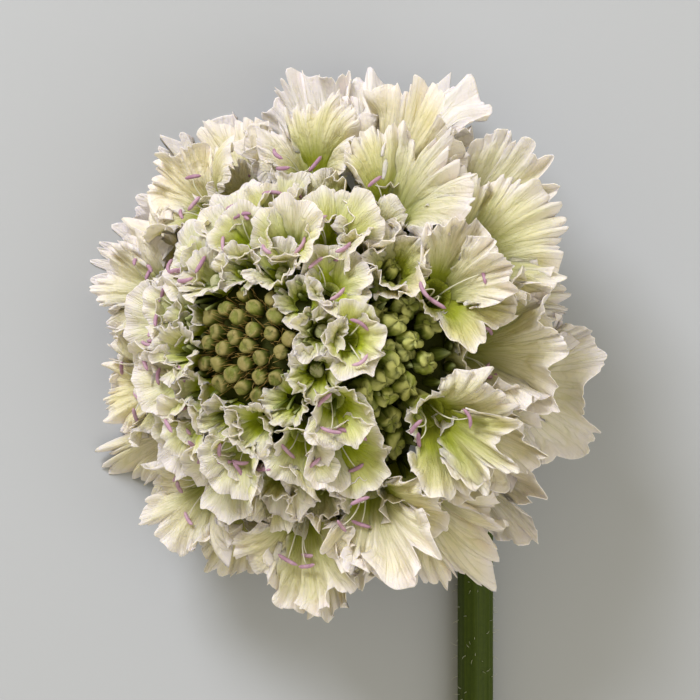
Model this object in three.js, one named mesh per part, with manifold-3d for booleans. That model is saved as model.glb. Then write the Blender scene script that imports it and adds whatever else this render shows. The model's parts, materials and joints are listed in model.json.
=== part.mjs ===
// A cut scabiosa (pincushion flower) lying on a flat surface, its face turned up and leaning to the left.
// Units are millimetres and +Z is up. The origin is the centre of the bounding box at its bottom, on the surface.
//
// The flower head is described in its own frame, by rho (distance from the head's axis), alpha (the angle round
// that axis, 0 to the right and 90 towards +Y) and h (the height along it, 0 at the level of the ray florets).
// From the back to the front it is a stack of parts, each a small drum that carries its own repeats:
// the involucre, the outer florets, a band of late buds, the inner florets and the cap of central buds.

import * as THREE from "three";
import { mergeVertices } from "three/addons/utils/BufferGeometryUtils.js";
import Module from "manifold-3d";

const wasm = await Module();
wasm.setup();

// ---------------------------------------------------------------- driving dimensions

const HEAD_HEIGHT = 13.2; // the ray florets' level above the surface, on the head's axis
const HEAD_TILT = THREE.MathUtils.degToRad(30); // lean of the head's axis from upright towards -X
const STEM_RADIUS = 1.85;
const STEM_OFFSET = 15.4; // sideways from the head's centre to the straight stem
const STEM_LANDING = -19; // where along Y it comes down to the surface
const STEM_LENGTH = 84; // the straight run that lies on the surface
const NECK_FLARE = 0.4; // how much wider the stem is where it meets the head
const GAP = 0.3; // clearance between two parts that grow against each other
const BLADE = 0.62; // thickness of petals, lobes and bracts
const PRESSED = 0.12; // how far a petal's middle lies above the surface where it is pressed flat
const FINEST = 0.08; // the smallest detail that is kept where parts run into each other
const ROUND = 24; // sides of a drum or of a clearing surface

const TABLE_BOX = 400; // side of the block below the surface that trims what is pressed on it

// Levels h where one drum of the head ends and the next begins.
const LEVELS = { back: -4.2, involucre: -2.4, outer: 3.7, band: 7.6, inner: 12.4, cap: 14.6 };
const DRUM_RADII = { neck: 2.6, involucre: 4.6, band: 9.6, inner: 8.4, cap: 5.4 };

// The packed base of the outer florets, as [rho, h] up from its underside.
const CORE = [
  [0, LEVELS.involucre],
  [7.0, LEVELS.involucre],
  [12.4, 0.4],
  [13.2, LEVELS.outer],
  [0, LEVELS.outer],
];

// The cup between the outer florets and all that stands inside them, as [rho, h] from its floor to its rim.
const CUP_WALL = [
  [12.8, 3.85],
  [14.0, 6.5],
  [15.2, 10.0],
  [16.4, 14.0],
  [19.0, 24.0],
];
const CAP_WELL = 6.5; // radius of the well in the inner florets where the central buds stand

const COLOURS = {
  stem: { color: 0x4d6b2c, roughness: 0.55 },
  bract: { color: 0x5f8038, roughness: 0.6 },
  petal: { color: 0xf1efe4, roughness: 0.62 },
  throat: { color: 0xe6ecc8, roughness: 0.6 },
  bud: { color: 0x8fa350, roughness: 0.5 },
  late_bud: { color: 0x7f9c3c, roughness: 0.5 },
};

// ---------------------------------------------------------------- rows of florets and buds

// One row of florets, one for each of its sizes, the length in mm of the lobe that points outwards. start is the
// first floret's angle round the head. root and throat are [rho, h] of the tube's two ends, and rim is the radius
// of the throat. face is the angle in degrees from the head's axis to where the floret looks, and sway is what the
// lean of the head adds to it on the right and takes off on the left. curl is how far the outward lobe bends away
// over its length, wave how deep its waves are, and series picks the row's own jitter.
const BACK_ROW = {
  sizes: [13.8, 11, 14, 16.4, 14.5, 13.5, 13.5, 13, 13, 11.5, 12, 13.2],
  start: -13, root: [4.5, -0.8], throat: [14, -4.4], rim: 1.7, face: 89, sway: 9, curl: 24, wave: 1.1, series: 18,
};
const MIDDLE_ROW = {
  sizes: [11.5, 12.2, 13, 8.6, 10.8, 13.4, 11, 12.4, 10.6, 12.3, 14.4, 11.5],
  start: 1, root: [5.5, 1.0], throat: [15.2, 0.8], rim: 1.9, face: 71, sway: 5, curl: 34, wave: 1.2, series: 19,
};
const FRONT_ROW = {
  sizes: [9.5, 8.5, 10, 9, 8.5, 9, 10, 9, 10.5, 9.5],
  start: -20, root: [5.5, 2.4], throat: [16.2, 5.6], rim: 2.0, face: 50, sway: 3, curl: 56, wave: 1.0, series: 20,
};
const OUTER_RING = {
  sizes: Array(14).fill(4.4),
  start: 10, root: [6, 9.0], throat: [11.0, 10.4], rim: 1.3, face: 56, sway: 0, curl: 40, wave: 0.3, series: 5,
};
const MIDDLE_RING = {
  sizes: Array(11).fill(3.6),
  start: 0, root: [6, 10.0], throat: [9.5, 13.2], rim: 1.2, face: 34, sway: 0, curl: 50, wave: 0.2, series: 6,
};
const INNER_RING = {
  sizes: Array(8).fill(2.4),
  start: 20, root: [7, 10.6], throat: [7.7, 14.6], rim: 0.95, face: 16, sway: 0, curl: 20, wave: 0.1, series: 7,
};

// A corolla's free lobes: turn round the throat from the outward side, half the part of the rim that each takes,
// its length as a share of the floret's size, half its spread, its lean off where the floret looks, how its curl
// compares with the outward lobe's, and the cells that its sheet is split into, across and along.
const OUTWARD = { turn: 0, arc: 34, reach: 1.0, fan: 18, lean: 4, curl: 1.0, cells: [2, 3] };
const LEFT = { turn: 74, arc: 30, reach: 0.7, fan: 18, lean: 14, curl: 1.4, cells: [2, 2] };
const RIGHT = { ...LEFT, turn: -74 };
const INWARD_LEFT = { turn: 142, arc: 26, reach: 0.36, fan: 20, lean: 10, curl: 0.8, cells: [1, 1] };
const INWARD_RIGHT = { ...INWARD_LEFT, turn: -142 };
const SMALL_LOBES = [0, 72, -72].map((turn) => (
  { turn, arc: 34, reach: turn ? 0.84 : 1, fan: 16, lean: 14, curl: 1, cells: [1, 1] }
));

// The central buds stand on a dome, drop mm lower for each square mm of rho, and turn outwards by tilt degrees for
// each mm. The late buds stand in rows round the head. length is a bud's length over its width.
const CENTRAL_BUDS = { count: 26, spread: 5.3, top: 15.6, drop: 0.045, tilt: 4.5, radius: 0.98, length: 1.1 };
const LATE_BUDS = { rows: [[11.2, 5.1], [10.7, 6.8]], perRow: 17, polar: 70, radius: 1.25, length: 1.2 };
const BRACTS = { count: 10, length: 9.5, width: 2.4, root: 3.2, droop: 22, sag: 0.9, crease: 0.25 };

// ---------------------------------------------------------------- small helpers

const rad = THREE.MathUtils.degToRad;
const vec = (x, y, z) => new THREE.Vector3(x, y, z);

// A repeatable number from 0 to 1 for the index-th repeat, a different series for each salt.
function draw(index, salt) {
  const s = Math.sin(index * 12.9898 + salt * 78.233) * 43758.5453;
  return s - Math.floor(s);
}

// The same, from -amount to amount.
const jitter = (index, salt, amount) => (2 * draw(index, salt) - 1) * amount;

// The head's frame in the part's frame.
const HEAD = new THREE.Matrix4().makeRotationY(-HEAD_TILT).setPosition(0, 0, HEAD_HEIGHT);

// The point at rho, alpha (radians) and h of the head, and the direction at angle polar from its axis.
const headPoint = (rho, alpha, h) => vec(rho * Math.cos(alpha), rho * Math.sin(alpha), h).applyMatrix4(HEAD);
const headDirection = (polar, alpha) => {
  const out = Math.sin(polar);
  return vec(out * Math.cos(alpha), out * Math.sin(alpha), Math.cos(polar)).transformDirection(HEAD);
};

// A closed geometry as a manifold-3d solid.
function solid(geometry) {
  const bare = geometry.clone();
  bare.deleteAttribute("normal");
  bare.deleteAttribute("uv");
  const merged = mergeVertices(bare, 1e-4);
  return new wasm.Manifold(
    new wasm.Mesh({
      numProp: 3,
      vertProperties: merged.attributes.position.array,
      triVerts: new Uint32Array(merged.index.array),
    }),
  );
}

// A closed geometry from points and triangles of their indices.
function closed(points, triangles) {
  return new THREE.BufferGeometry().setFromPoints(points).setIndex(triangles);
}

const union = (solids) => solids.reduce((whole, one) => whole.add(one));

// A solid without slivers finer than a leaf's edge, loose scraps and sealed hollows: the largest of its bodies.
function oneBody(whole) {
  const bodies = whole.asOriginal().simplify(FINEST).decompose();
  return bodies.reduce((largest, body) => (body.volume() > largest.volume() ? body : largest));
}

// A solid as a named mesh of one of the flower's colours.
function node(name, whole, colour) {
  const mesh = whole.getMesh();
  const step = mesh.numProp;
  const position = new Float32Array(mesh.numVert * 3);
  for (let i = 0; i < mesh.numVert; i++) {
    position.set(mesh.vertProperties.subarray(i * step, i * step + 3), i * 3);
  }
  const geometry = new THREE.BufferGeometry()
    .setAttribute("position", new THREE.BufferAttribute(position, 3))
    .setIndex(new THREE.BufferAttribute(mesh.triVerts, 1));
  geometry.computeVertexNormals();
  const made = new THREE.Mesh(geometry, new THREE.MeshStandardMaterial({ ...colour, metalness: 0 }));
  made.name = name;
  return made;
}

// A solid of revolution about the head's axis, from [rho, h] points that start and end on it, bottom first.
function turned(profile) {
  const lathe = new THREE.LatheGeometry(profile.map(([rho, h]) => new THREE.Vector2(rho, h)), ROUND);
  return solid(lathe.rotateX(Math.PI / 2).applyMatrix4(HEAD));
}

const drum = (radius, low, high) => turned([[0, low], [radius, low], [radius, high], [0, high]]);

// The space inside the cup's wall, taken in by inset.
function cup(inset) {
  const wall = CUP_WALL.map(([rho, h]) => [rho - inset, h]);
  const floor = CUP_WALL[0][1] + inset;
  const rim = CUP_WALL.at(-1)[1];
  return turned([[0, floor], [wall[0][0], floor], ...wall.slice(1), [0, rim]]);
}

// ---------------------------------------------------------------- surfaces

// Moves a point that would go below the surface up to where a petal lies pressed on it.
function pressed(point) {
  if (point.z < PRESSED) point.z = PRESSED + (PRESSED - point.z) * 0.004;
  return point;
}

// The thin solid round a sheet of points, sheet(u, v) with u from -1 to 1 and v from 0 to 1. Both of its faces are
// split into triangles alike.
function blade(sheet, [across, along]) {
  const columns = across + 1;
  const rows = along + 1;
  const middle = [];
  for (let j = 0; j < rows; j++) {
    for (let i = 0; i < columns; i++) {
      middle.push(pressed(sheet((2 * i) / across - 1, j / along)));
    }
  }
  const within = (i, most) => Math.min(Math.max(i, 0), most);
  const at = (i, j) => middle[within(j, along) * columns + within(i, across)];
  const normals = middle.map((_, k) => {
    const i = k % columns;
    const j = Math.floor(k / columns);
    const du = at(i + 1, j).clone().sub(at(i - 1, j));
    const dv = at(i, j + 1).clone().sub(at(i, j - 1));
    return du.cross(dv).normalize().multiplyScalar(BLADE / 2);
  });
  const top = middle.map((point, k) => point.clone().add(normals[k]));
  const bottom = middle.map((point, k) => point.clone().sub(normals[k]));
  const count = middle.length;
  const triangles = [];
  const quad = (a, b, c, d) => triangles.push(a, b, c, a, c, d);
  for (let j = 0; j < along; j++) {
    for (let i = 0; i < across; i++) {
      const a = j * columns + i;
      const [b, c, d] = [a + 1, a + columns + 1, a + columns];
      triangles.push(a, b, c, a, c, d);
      triangles.push(a + count, c + count, b + count, a + count, d + count, c + count);
    }
  }
  const rim = [];
  for (let i = 0; i < across; i++) rim.push(i);
  for (let j = 0; j < along; j++) rim.push(j * columns + across);
  for (let i = across; i > 0; i--) rim.push(along * columns + i);
  for (let j = along; j > 0; j--) rim.push(j * columns);
  rim.forEach((a, k) => {
    const b = rim[(k + 1) % rim.length];
    quad(a, a + count, b + count, b);
  });
  return solid(closed([...top, ...bottom], triangles));
}

// A floret's place: its throat's centre, the way it looks, outward and sideways across it, and its tube's root.
function placeFloret(row, k) {
  const id = row.series * 100 + k;
  const count = row.sizes.length;
  const alpha = rad(row.start + (360 / count) * (k + jitter(id, 1, 0.12)));
  const polar = rad(row.face + row.sway * Math.cos(alpha) + jitter(id, 2, 5));
  const [rho, h] = row.throat;
  const look = headDirection(polar, alpha + rad(jitter(id, 3, 5)));
  const away = headDirection(Math.PI / 2 + polar, alpha);
  const outward = away.sub(look.clone().multiplyScalar(away.dot(look))).normalize();
  return {
    id,
    throat: headPoint(rho + jitter(id, 4, 0.4), alpha, h + jitter(id, 5, 0.4)),
    root: headPoint(row.root[0], alpha, row.root[1]),
    look,
    outward,
    side: look.clone().cross(outward),
    size: row.sizes[k],
  };
}

// The corolla's tube: a bent funnel from its root to its throat, hollowed into a shallow mouth.
function funnel(place, rim) {
  const sides = 5;
  const reach = place.throat.clone().sub(place.root).length();
  const bend = place.throat.clone().sub(place.look.clone().multiplyScalar(reach * 0.45));
  const curve = new THREE.QuadraticBezierCurve3(place.root, bend, place.throat);
  const rings = [
    { t: 0, radius: rim * 0.45 },
    { t: 0.55, radius: rim * 0.6 },
    { t: 1, radius: rim },
  ];
  const points = rings.flatMap(({ t, radius }) => {
    const centre = curve.getPoint(t);
    const along = t === 1 ? place.look : curve.getTangent(t);
    const out = place.outward.clone().sub(along.clone().multiplyScalar(place.outward.dot(along))).normalize();
    const side = along.clone().cross(out);
    return Array.from({ length: sides }, (_, i) => {
      const turn = (2 * Math.PI * i) / sides;
      const spoke = out.clone().multiplyScalar(Math.cos(turn)).add(side.clone().multiplyScalar(Math.sin(turn)));
      return centre.clone().add(spoke.multiplyScalar(radius));
    });
  });
  const foot = points.push(place.root.clone()) - 1;
  const mouth = points.push(place.throat.clone().sub(place.look.clone().multiplyScalar(rim * 0.9))) - 1;
  const triangles = [];
  const last = (rings.length - 1) * sides;
  for (let i = 0; i < sides; i++) {
    const next = (i + 1) % sides;
    triangles.push(foot, next, i);
    triangles.push(mouth, last + i, last + next);
    for (let r = 0; r < last; r += sides) {
      triangles.push(r + i, r + next, r + sides + next, r + i, r + sides + next, r + sides + i);
    }
  }
  return solid(closed(points, triangles));
}

// One lobe's sheet. It starts on the throat's rim, fans out along rays and curls away from where the floret
// looks along an arc of even curvature; waves across it grow towards its edge.
function lobeSheet(place, row, lobe, index) {
  const id = place.id * 7 + index;
  const turn = rad(lobe.turn + jitter(id, 11, 6));
  const [cos, sin] = [Math.cos(turn), Math.sin(turn)];
  const spoke = place.outward.clone().multiplyScalar(cos).add(place.side.clone().multiplyScalar(sin));
  const across = place.look.clone().cross(spoke);
  const lean = rad(lobe.lean + jitter(id, 15, 4));
  const curl = rad(row.curl * lobe.curl + jitter(id, 12, 10));
  const length = place.size * lobe.reach * (1 + jitter(id, 13, 0.06));
  const phase = 2 * Math.PI * draw(id, 14);
  const wave = row.wave * lobe.reach;
  const arc = rad(lobe.arc);
  const fan = rad(lobe.fan);
  return (u, v) => {
    const ray = (v * 1.12 - 0.12) * length * (1 - 0.2 * u * u);
    const share = (ray * Math.cos(u * fan)) / length;
    const angle = lean + curl * share;
    const out = (length * (Math.cos(lean) - Math.cos(angle))) / curl;
    const up = (length * (Math.sin(angle) - Math.sin(lean))) / curl;
    const lift = wave * Math.max(v, 0) ** 1.5 * Math.sin(1.5 * Math.PI * u + phase);
    const onRim = turn + u * arc;
    return place.throat
      .clone()
      .add(place.outward.clone().multiplyScalar(row.rim * Math.cos(onRim)))
      .add(place.side.clone().multiplyScalar(row.rim * Math.sin(onRim)))
      .add(spoke.clone().multiplyScalar(out - lift * Math.cos(angle)))
      .add(place.look.clone().multiplyScalar(up + lift * Math.sin(angle)))
      .add(across.clone().multiplyScalar(ray * Math.sin(u * fan)));
  };
}

// All florets of a row as one list of solids.
function florets(row, lobes) {
  return row.sizes.flatMap((_, k) => {
    const place = placeFloret(row, k);
    const petals = lobes.map((lobe, index) => blade(lobeSheet(place, row, lobe, index), lobe.cells));
    return [funnel(place, row.rim), ...petals];
  });
}

// A bud: a faceted ball, a little longer along the way it looks.
function bud(centre, look, { radius, length }) {
  const ball = new THREE.IcosahedronGeometry(radius, 0).scale(1, 1, length);
  const turn = new THREE.Quaternion().setFromUnitVectors(vec(0, 0, 1), look);
  return solid(ball.applyQuaternion(turn).translate(centre.x, centre.y, centre.z));
}

// ---------------------------------------------------------------- the flower's parts

// The stem as a solid that is thicker all round by margin. From its cut end it lies straight along the surface,
// then bends up to the back of the head. One of its eight sides faces the surface.
function stemTube(margin) {
  const neckTop = headPoint(0, 0, LEVELS.back - GAP);
  const landing = vec(STEM_OFFSET, STEM_LANDING, STEM_RADIUS);
  const neck = new THREE.CubicBezierCurve3(
    landing,
    landing.clone().add(vec(0, 15, 0)),
    neckTop.clone().add(headDirection(Math.PI, 0).multiplyScalar(6)),
    neckTop,
  );
  const bends = 10;
  const sides = 8;
  const stations = [landing.clone().add(vec(0, -STEM_LENGTH, 0)), ...neck.getPoints(bends)];
  const points = [];
  let across = vec(0, 0, 1);
  stations.forEach((centre, k) => {
    const along = k > 1 ? neck.getTangent((k - 1) / bends) : vec(0, 1, 0);
    across = across.clone().sub(along.clone().multiplyScalar(across.dot(along))).normalize();
    const other = along.clone().cross(across);
    const flare = NECK_FLARE * Math.exp(k - bends - 1);
    const radius = (STEM_RADIUS * (1 + flare) + margin) / Math.cos(Math.PI / sides);
    for (let i = 0; i < sides; i++) {
      const turn = (2 * Math.PI * (i + 0.5)) / sides;
      const [cos, sin] = [radius * Math.cos(turn), radius * Math.sin(turn)];
      points.push(centre.clone().add(across.clone().multiplyScalar(cos)).add(other.clone().multiplyScalar(sin)));
    }
  });
  const triangles = [];
  const last = (stations.length - 1) * sides;
  for (let i = 1; i < sides - 1; i++) {
    triangles.push(0, i + 1, i, last, last + i, last + i + 1);
  }
  for (let r = 0; r < last; r += sides) {
    for (let i = 0; i < sides; i++) {
      const next = (i + 1) % sides;
      triangles.push(r + i, r + next, r + sides + next, r + i, r + sides + next, r + sides + i);
    }
  }
  return solid(closed(points, triangles));
}

// The involucre: a shallow disc behind the head with a ring of narrow leafy bracts.
function involucre() {
  const disc = turned([
    [0, LEVELS.back],
    [DRUM_RADII.neck, LEVELS.back],
    [DRUM_RADII.involucre, LEVELS.involucre - GAP],
    [0, LEVELS.involucre - GAP],
  ]);
  const bracts = Array.from({ length: BRACTS.count }, (_, k) => {
    const alpha = rad((360 / BRACTS.count) * (k + jitter(k, 21, 0.15)));
    const polar = rad(90 + BRACTS.droop + jitter(k, 22, 4));
    const out = headDirection(polar, alpha);
    const side = headDirection(Math.PI / 2, alpha + Math.PI / 2);
    const root = headPoint(BRACTS.root, alpha, LEVELS.involucre - GAP - BLADE);
    const keel = out.clone().cross(side);
    const length = BRACTS.length * (1 + jitter(k, 23, 0.12));
    const sheet = (u, v) => {
      const half = (BRACTS.width / 2) * Math.sin(Math.PI * (0.3 + 0.66 * v)); // widest a third of the way out
      const sag = BRACTS.sag * v * v + BRACTS.crease * u * u;
      return root
        .clone()
        .add(out.clone().multiplyScalar(v * length))
        .add(side.clone().multiplyScalar(u * half))
        .add(keel.clone().multiplyScalar(-sag));
    };
    return blade(sheet, [2, 3]);
  });
  return union([disc, ...bracts]);
}

// The outer florets: three rows of funnels with large waved lobes.
function outerFlorets() {
  const core = turned(CORE);
  const lobes = [OUTWARD, LEFT, RIGHT];
  const open = [...lobes, INWARD_LEFT, INWARD_RIGHT];
  const rows = [...florets(BACK_ROW, lobes), ...florets(MIDDLE_ROW, lobes), ...florets(FRONT_ROW, open)];
  return union([core, ...rows]);
}

// The band of late green buds between the outer and the inner florets.
function lateBuds() {
  const core = drum(DRUM_RADII.band, CUP_WALL[0][1] + GAP, LEVELS.band - GAP);
  const buds = LATE_BUDS.rows.flatMap(([rho, h], r) =>
    Array.from({ length: LATE_BUDS.perRow }, (_, k) => {
      const id = k + 50 * r;
      const alpha = rad((360 / LATE_BUDS.perRow) * (k + r / 2 + jitter(id, 31, 0.15)));
      const look = headDirection(rad(LATE_BUDS.polar), alpha);
      return bud(headPoint(rho + jitter(id, 32, 0.3), alpha, h), look, LATE_BUDS);
    }),
  );
  return union([core, ...buds]);
}

// The inner florets: three rows of small five-lobed corollas round the central buds.
function innerFlorets() {
  const core = drum(DRUM_RADII.inner, LEVELS.band, LEVELS.inner - GAP);
  return union([core, ...[OUTER_RING, MIDDLE_RING, INNER_RING].flatMap((row) => florets(row, SMALL_LOBES))]);
}

// The cap of closed central buds, set on a spiral.
function centralBuds() {
  const core = turned([
    [0, LEVELS.inner],
    [DRUM_RADII.cap, LEVELS.inner],
    [DRUM_RADII.cap, LEVELS.cap - 0.7],
    [DRUM_RADII.cap / 2, LEVELS.cap],
    [0, LEVELS.cap],
  ]);
  const golden = Math.PI * (3 - Math.sqrt(5));
  const buds = Array.from({ length: CENTRAL_BUDS.count }, (_, k) => {
    const rho = CENTRAL_BUDS.spread * Math.sqrt((k + 0.4) / CENTRAL_BUDS.count);
    const alpha = k * golden;
    const centre = headPoint(rho, alpha, CENTRAL_BUDS.top - CENTRAL_BUDS.drop * rho * rho);
    return bud(centre, headDirection(rad(CENTRAL_BUDS.tilt * rho), alpha), CENTRAL_BUDS);
  });
  return union([core, ...buds]);
}

// The whole flower. Each part of the head is kept clear of its neighbours by the cup's wall and the well's, and
// what lies against the surface is trimmed flat there.
function flower() {
  const top = CUP_WALL.at(-1)[1];
  const table = solid(new THREE.BoxGeometry(TABLE_BOX, TABLE_BOX, TABLE_BOX).translate(0, 0, -TABLE_BOX / 2));
  const discSpace = drum(DRUM_RADII.involucre + GAP, LEVELS.back - GAP, LEVELS.involucre);
  const bandSpace = cup(GAP).intersect(drum(TABLE_BOX, LEVELS.back, LEVELS.band - GAP));
  const innerSpace = cup(GAP)
    .subtract(drum(TABLE_BOX, LEVELS.back, LEVELS.band))
    .subtract(drum(CAP_WELL, LEVELS.inner - GAP, top));
  const wellSpace = drum(CAP_WELL - GAP, LEVELS.inner, top);
  const bloom = outerFlorets().subtract(union([cup(0), discSpace, stemTube(GAP), table]));

  const whole = new THREE.Group();
  whole.add(
    node("stem", stemTube(0), COLOURS.stem),
    node("involucre", oneBody(involucre()), COLOURS.bract),
    node("outer_florets", oneBody(bloom), COLOURS.petal),
    node("late_buds", oneBody(lateBuds().intersect(bandSpace)), COLOURS.late_bud),
    node("inner_florets", oneBody(innerFlorets().intersect(innerSpace)), COLOURS.throat),
    node("central_buds", oneBody(centralBuds().intersect(wellSpace)), COLOURS.bud),
  );
  const box = new THREE.Box3().setFromObject(whole);
  const centre = box.getCenter(vec(0, 0, 0));
  whole.position.set(-centre.x, -centre.y, -box.min.z);
  return whole;
}

const scabiosa = flower();

export default scabiosa;
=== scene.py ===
"""A cut scabiosa lying on its bent stem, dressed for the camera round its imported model.

Sizes are in millimetres until a mesh is written in metres, and +Z is up, out of the flower's face. The
head is described as its parts grow on it: rho is the distance from the head's axis, alpha the angle round
that axis (0 to the right, 90 degrees towards +Y) and h the height along it, 0 at the level of the ray
florets. Every petal is a closed thin shell round a sheet worked out on a grid: u runs across it from -1
to 1, and v along it from a little inside the throat, below 0, to its toothed edge at 1.
"""

import json
import logging
import math
from dataclasses import dataclass, field, replace
from enum import Enum
from typing import Any

import bpy
import numpy as np
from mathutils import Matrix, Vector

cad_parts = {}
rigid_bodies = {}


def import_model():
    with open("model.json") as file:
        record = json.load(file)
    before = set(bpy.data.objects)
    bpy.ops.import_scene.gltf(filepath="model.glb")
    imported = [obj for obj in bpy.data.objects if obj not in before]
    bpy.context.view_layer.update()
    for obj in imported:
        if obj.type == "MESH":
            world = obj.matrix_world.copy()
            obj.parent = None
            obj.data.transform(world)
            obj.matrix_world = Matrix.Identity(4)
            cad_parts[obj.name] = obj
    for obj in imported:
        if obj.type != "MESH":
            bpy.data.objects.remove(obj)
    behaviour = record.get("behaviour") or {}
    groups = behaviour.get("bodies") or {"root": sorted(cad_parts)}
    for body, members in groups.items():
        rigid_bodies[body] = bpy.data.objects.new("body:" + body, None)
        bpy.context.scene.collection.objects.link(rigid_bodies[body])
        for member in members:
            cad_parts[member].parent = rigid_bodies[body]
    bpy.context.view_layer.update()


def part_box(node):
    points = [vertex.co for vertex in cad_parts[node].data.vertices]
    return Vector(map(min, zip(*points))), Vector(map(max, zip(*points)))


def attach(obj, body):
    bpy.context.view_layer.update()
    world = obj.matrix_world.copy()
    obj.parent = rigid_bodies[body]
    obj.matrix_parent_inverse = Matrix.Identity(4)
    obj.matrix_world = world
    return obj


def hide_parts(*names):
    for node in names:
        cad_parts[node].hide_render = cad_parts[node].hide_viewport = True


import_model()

Colour = tuple[float, float, float]
Spot = tuple[float, float, float]
Profile = tuple[tuple[float, float], ...]

LOG = logging.getLogger("scabiosa")
MM = 0.001
BODY = "root"
GOLDEN = math.pi * (3 - math.sqrt(5))
FLAT = np.array([1.0, 1.0, 0.0])
UP = np.array([0.0, 0.0, 1.0])

# The head, up to its outer throats, and the stem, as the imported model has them.
HEAD_HEIGHT = 13.2
HEAD_TILT = 30.0
HEAD_RADIUS = 16.0
STEM_RADIUS = 1.85
STEM_OFFSET = 15.4
STEM_LANDING = -19.0
STEM_LENGTH = 84.0
BACK_LEVEL = -4.2
BRACT_LEVEL = -2.4
BLADE = 0.62
GAP = 0.3
PRESSED = 0.12


# ---------------------------------------------------------------- numbers and directions


def draw(index: np.ndarray, salt: float) -> np.ndarray:
    """A repeatable number from 0 to 1 for each index, from another series for each salt.

    Args:
        index: the repeats' numbers.
        salt: which series to draw from.

    Returns:
        The fractional part of a steep sine of both.
    """
    wave = np.sin(np.asarray(index, float) * 12.9898 + salt * 78.233) * 43758.5453
    return wave - np.floor(wave)


def jitter(index: np.ndarray, salt: float, amount: float) -> np.ndarray:
    """The same draw spread from -amount to amount."""
    return (2 * draw(index, salt) - 1) * amount


def each(values: np.ndarray) -> np.ndarray:
    """One number for each repeat, shaped to meet the repeats' grids."""
    return np.asarray(values)[:, None, None]


def smooth(low: float, high: float, x: np.ndarray) -> np.ndarray:
    """0 below low, 1 above high, and a smooth S between them."""
    t = np.clip((x - low) / (high - low), 0, 1)
    return t * t * (3 - 2 * t)


def bell(x: np.ndarray, width: float) -> np.ndarray:
    """1 at 0, falling off on both sides like a bell curve of that width."""
    return np.exp(-((x / width) ** 2))


def turns(count: int) -> np.ndarray:
    """That many angles spread evenly over a full turn."""
    return np.linspace(0, 2 * np.pi, count, endpoint=False)


def together(*numbers: Any) -> np.ndarray:
    """Numbers of any shapes that meet, side by side along a new last axis."""
    return np.stack(np.broadcast_arrays(*numbers), -1)


def unit(vectors: np.ndarray) -> np.ndarray:
    """The vectors of the last axis at length 1."""
    return vectors / np.maximum(np.linalg.norm(vectors, axis=-1, keepdims=True), 1e-12)


def square_to(vectors: np.ndarray, along: np.ndarray) -> np.ndarray:
    """The part of each vector at right angles to along, at length 1."""
    return unit(vectors - (vectors * along).sum(-1, keepdims=True) * along)


def swing(angle: np.ndarray, first: np.ndarray, second: np.ndarray) -> np.ndarray:
    """The directions at an angle from first towards second, which is square to it."""
    return np.cos(angle)[..., None] * first + np.sin(angle)[..., None] * second


def lay(origin: np.ndarray, *ways: tuple[np.ndarray, np.ndarray]) -> np.ndarray:
    """Grids of points: each grid's origin, plus each of its directions times an amount over the grid."""
    return origin[:, None, None] + sum(way[:, None, None] * amount[..., None] for way, amount in ways)


def pressed(points: np.ndarray) -> np.ndarray:
    """Bends what dips below the surface up onto it: each height becomes a soft maximum with PRESSED.

    Args:
        points: points in mm, of any grid shape.

    Returns:
        The same points, none lower than PRESSED.
    """
    softness = 0.2
    lifted = points.copy()
    lifted[..., 2] = PRESSED + softness * np.logaddexp(0, (points[..., 2] - PRESSED) / softness)
    return lifted


def bezier(ends: list[np.ndarray], t: np.ndarray) -> tuple[np.ndarray, np.ndarray]:
    """Points and directions along Bezier curves, by the weights of Bernstein's polynomials.

    Args:
        ends: the curve's control points, each an array of shape (..., 3).
        t: how far along the curves, from 0 to 1.

    Returns:
        The points and the unit tangents, of shape (..., len(t), 3).
    """
    degree = len(ends) - 1
    stack = [np.asarray(end, float)[..., None, :] for end in ends]
    t = t[:, None]

    def blend(points: list[np.ndarray], order: int) -> np.ndarray:
        """The sum of the points, each with its Bernstein weight."""
        weights = [math.comb(order, k) * t**k * (1 - t) ** (order - k) for k in range(order + 1)]
        return sum(weight * point for weight, point in zip(weights, points))

    slopes = [b - a for a, b in zip(stack, stack[1:])]
    return blend(stack, degree), unit(blend(slopes, degree - 1))


def sweep(centres: np.ndarray, along: np.ndarray, radii: np.ndarray, reference: np.ndarray) -> np.ndarray:
    """Rings round a path: the centre plus the radius times a spoke that turns in the plane across the path.

    Args:
        centres: (..., stations, 3) points of the path.
        along: the path's unit directions there.
        radii: radii that broadcast to (..., stations, sides), sides being the last axis.
        reference: the direction that the first spoke leans to, broadcast to the centres.

    Returns:
        (..., stations, sides, 3) points, anticlockwise round the path.
    """
    out = square_to(np.broadcast_to(reference, along.shape), along)
    spokes = swing(turns(radii.shape[-1]), out[..., None, :], np.cross(along, out)[..., None, :])
    return centres[..., None, :] + spokes * radii[..., None]


@dataclass(frozen=True)
class Head:
    """The frame of the flower's head, its axis leaning from upright towards -X."""

    centre: np.ndarray
    tilt: float = math.radians(HEAD_TILT)

    def axes(self) -> np.ndarray:
        """The head's right, its page's up and its facing direction, one to a row."""
        c, s = math.cos(self.tilt), math.sin(self.tilt)
        return np.array([[c, 0, s], [0, 1, 0], [-s, 0, c]])

    def point(self, rho: Any, alpha: Any, h: Any) -> np.ndarray:
        """The points at distance rho from the axis, angle alpha round it and height h along it."""
        return self.centre + together(rho * np.cos(alpha), rho * np.sin(alpha), h) @ self.axes()

    def direction(self, polar: Any, alpha: Any) -> np.ndarray:
        """The directions at angle polar from the axis and alpha round it."""
        out = np.sin(polar)
        return together(out * np.cos(alpha), out * np.sin(alpha), np.cos(polar)) @ self.axes()

    @staticmethod
    def from_frame() -> "Head":
        """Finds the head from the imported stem's box, whose right side and cut end lie at known steps from it.

        Returns:
            The head.
        """
        low, high = (np.array(corner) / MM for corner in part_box("stem"))
        right = high[0] - (STEM_OFFSET + STEM_RADIUS)
        up = low[1] + STEM_LENGTH - STEM_LANDING
        return Head(np.array([right, up, HEAD_HEIGHT]))


# ---------------------------------------------------------------- meshes


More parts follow.
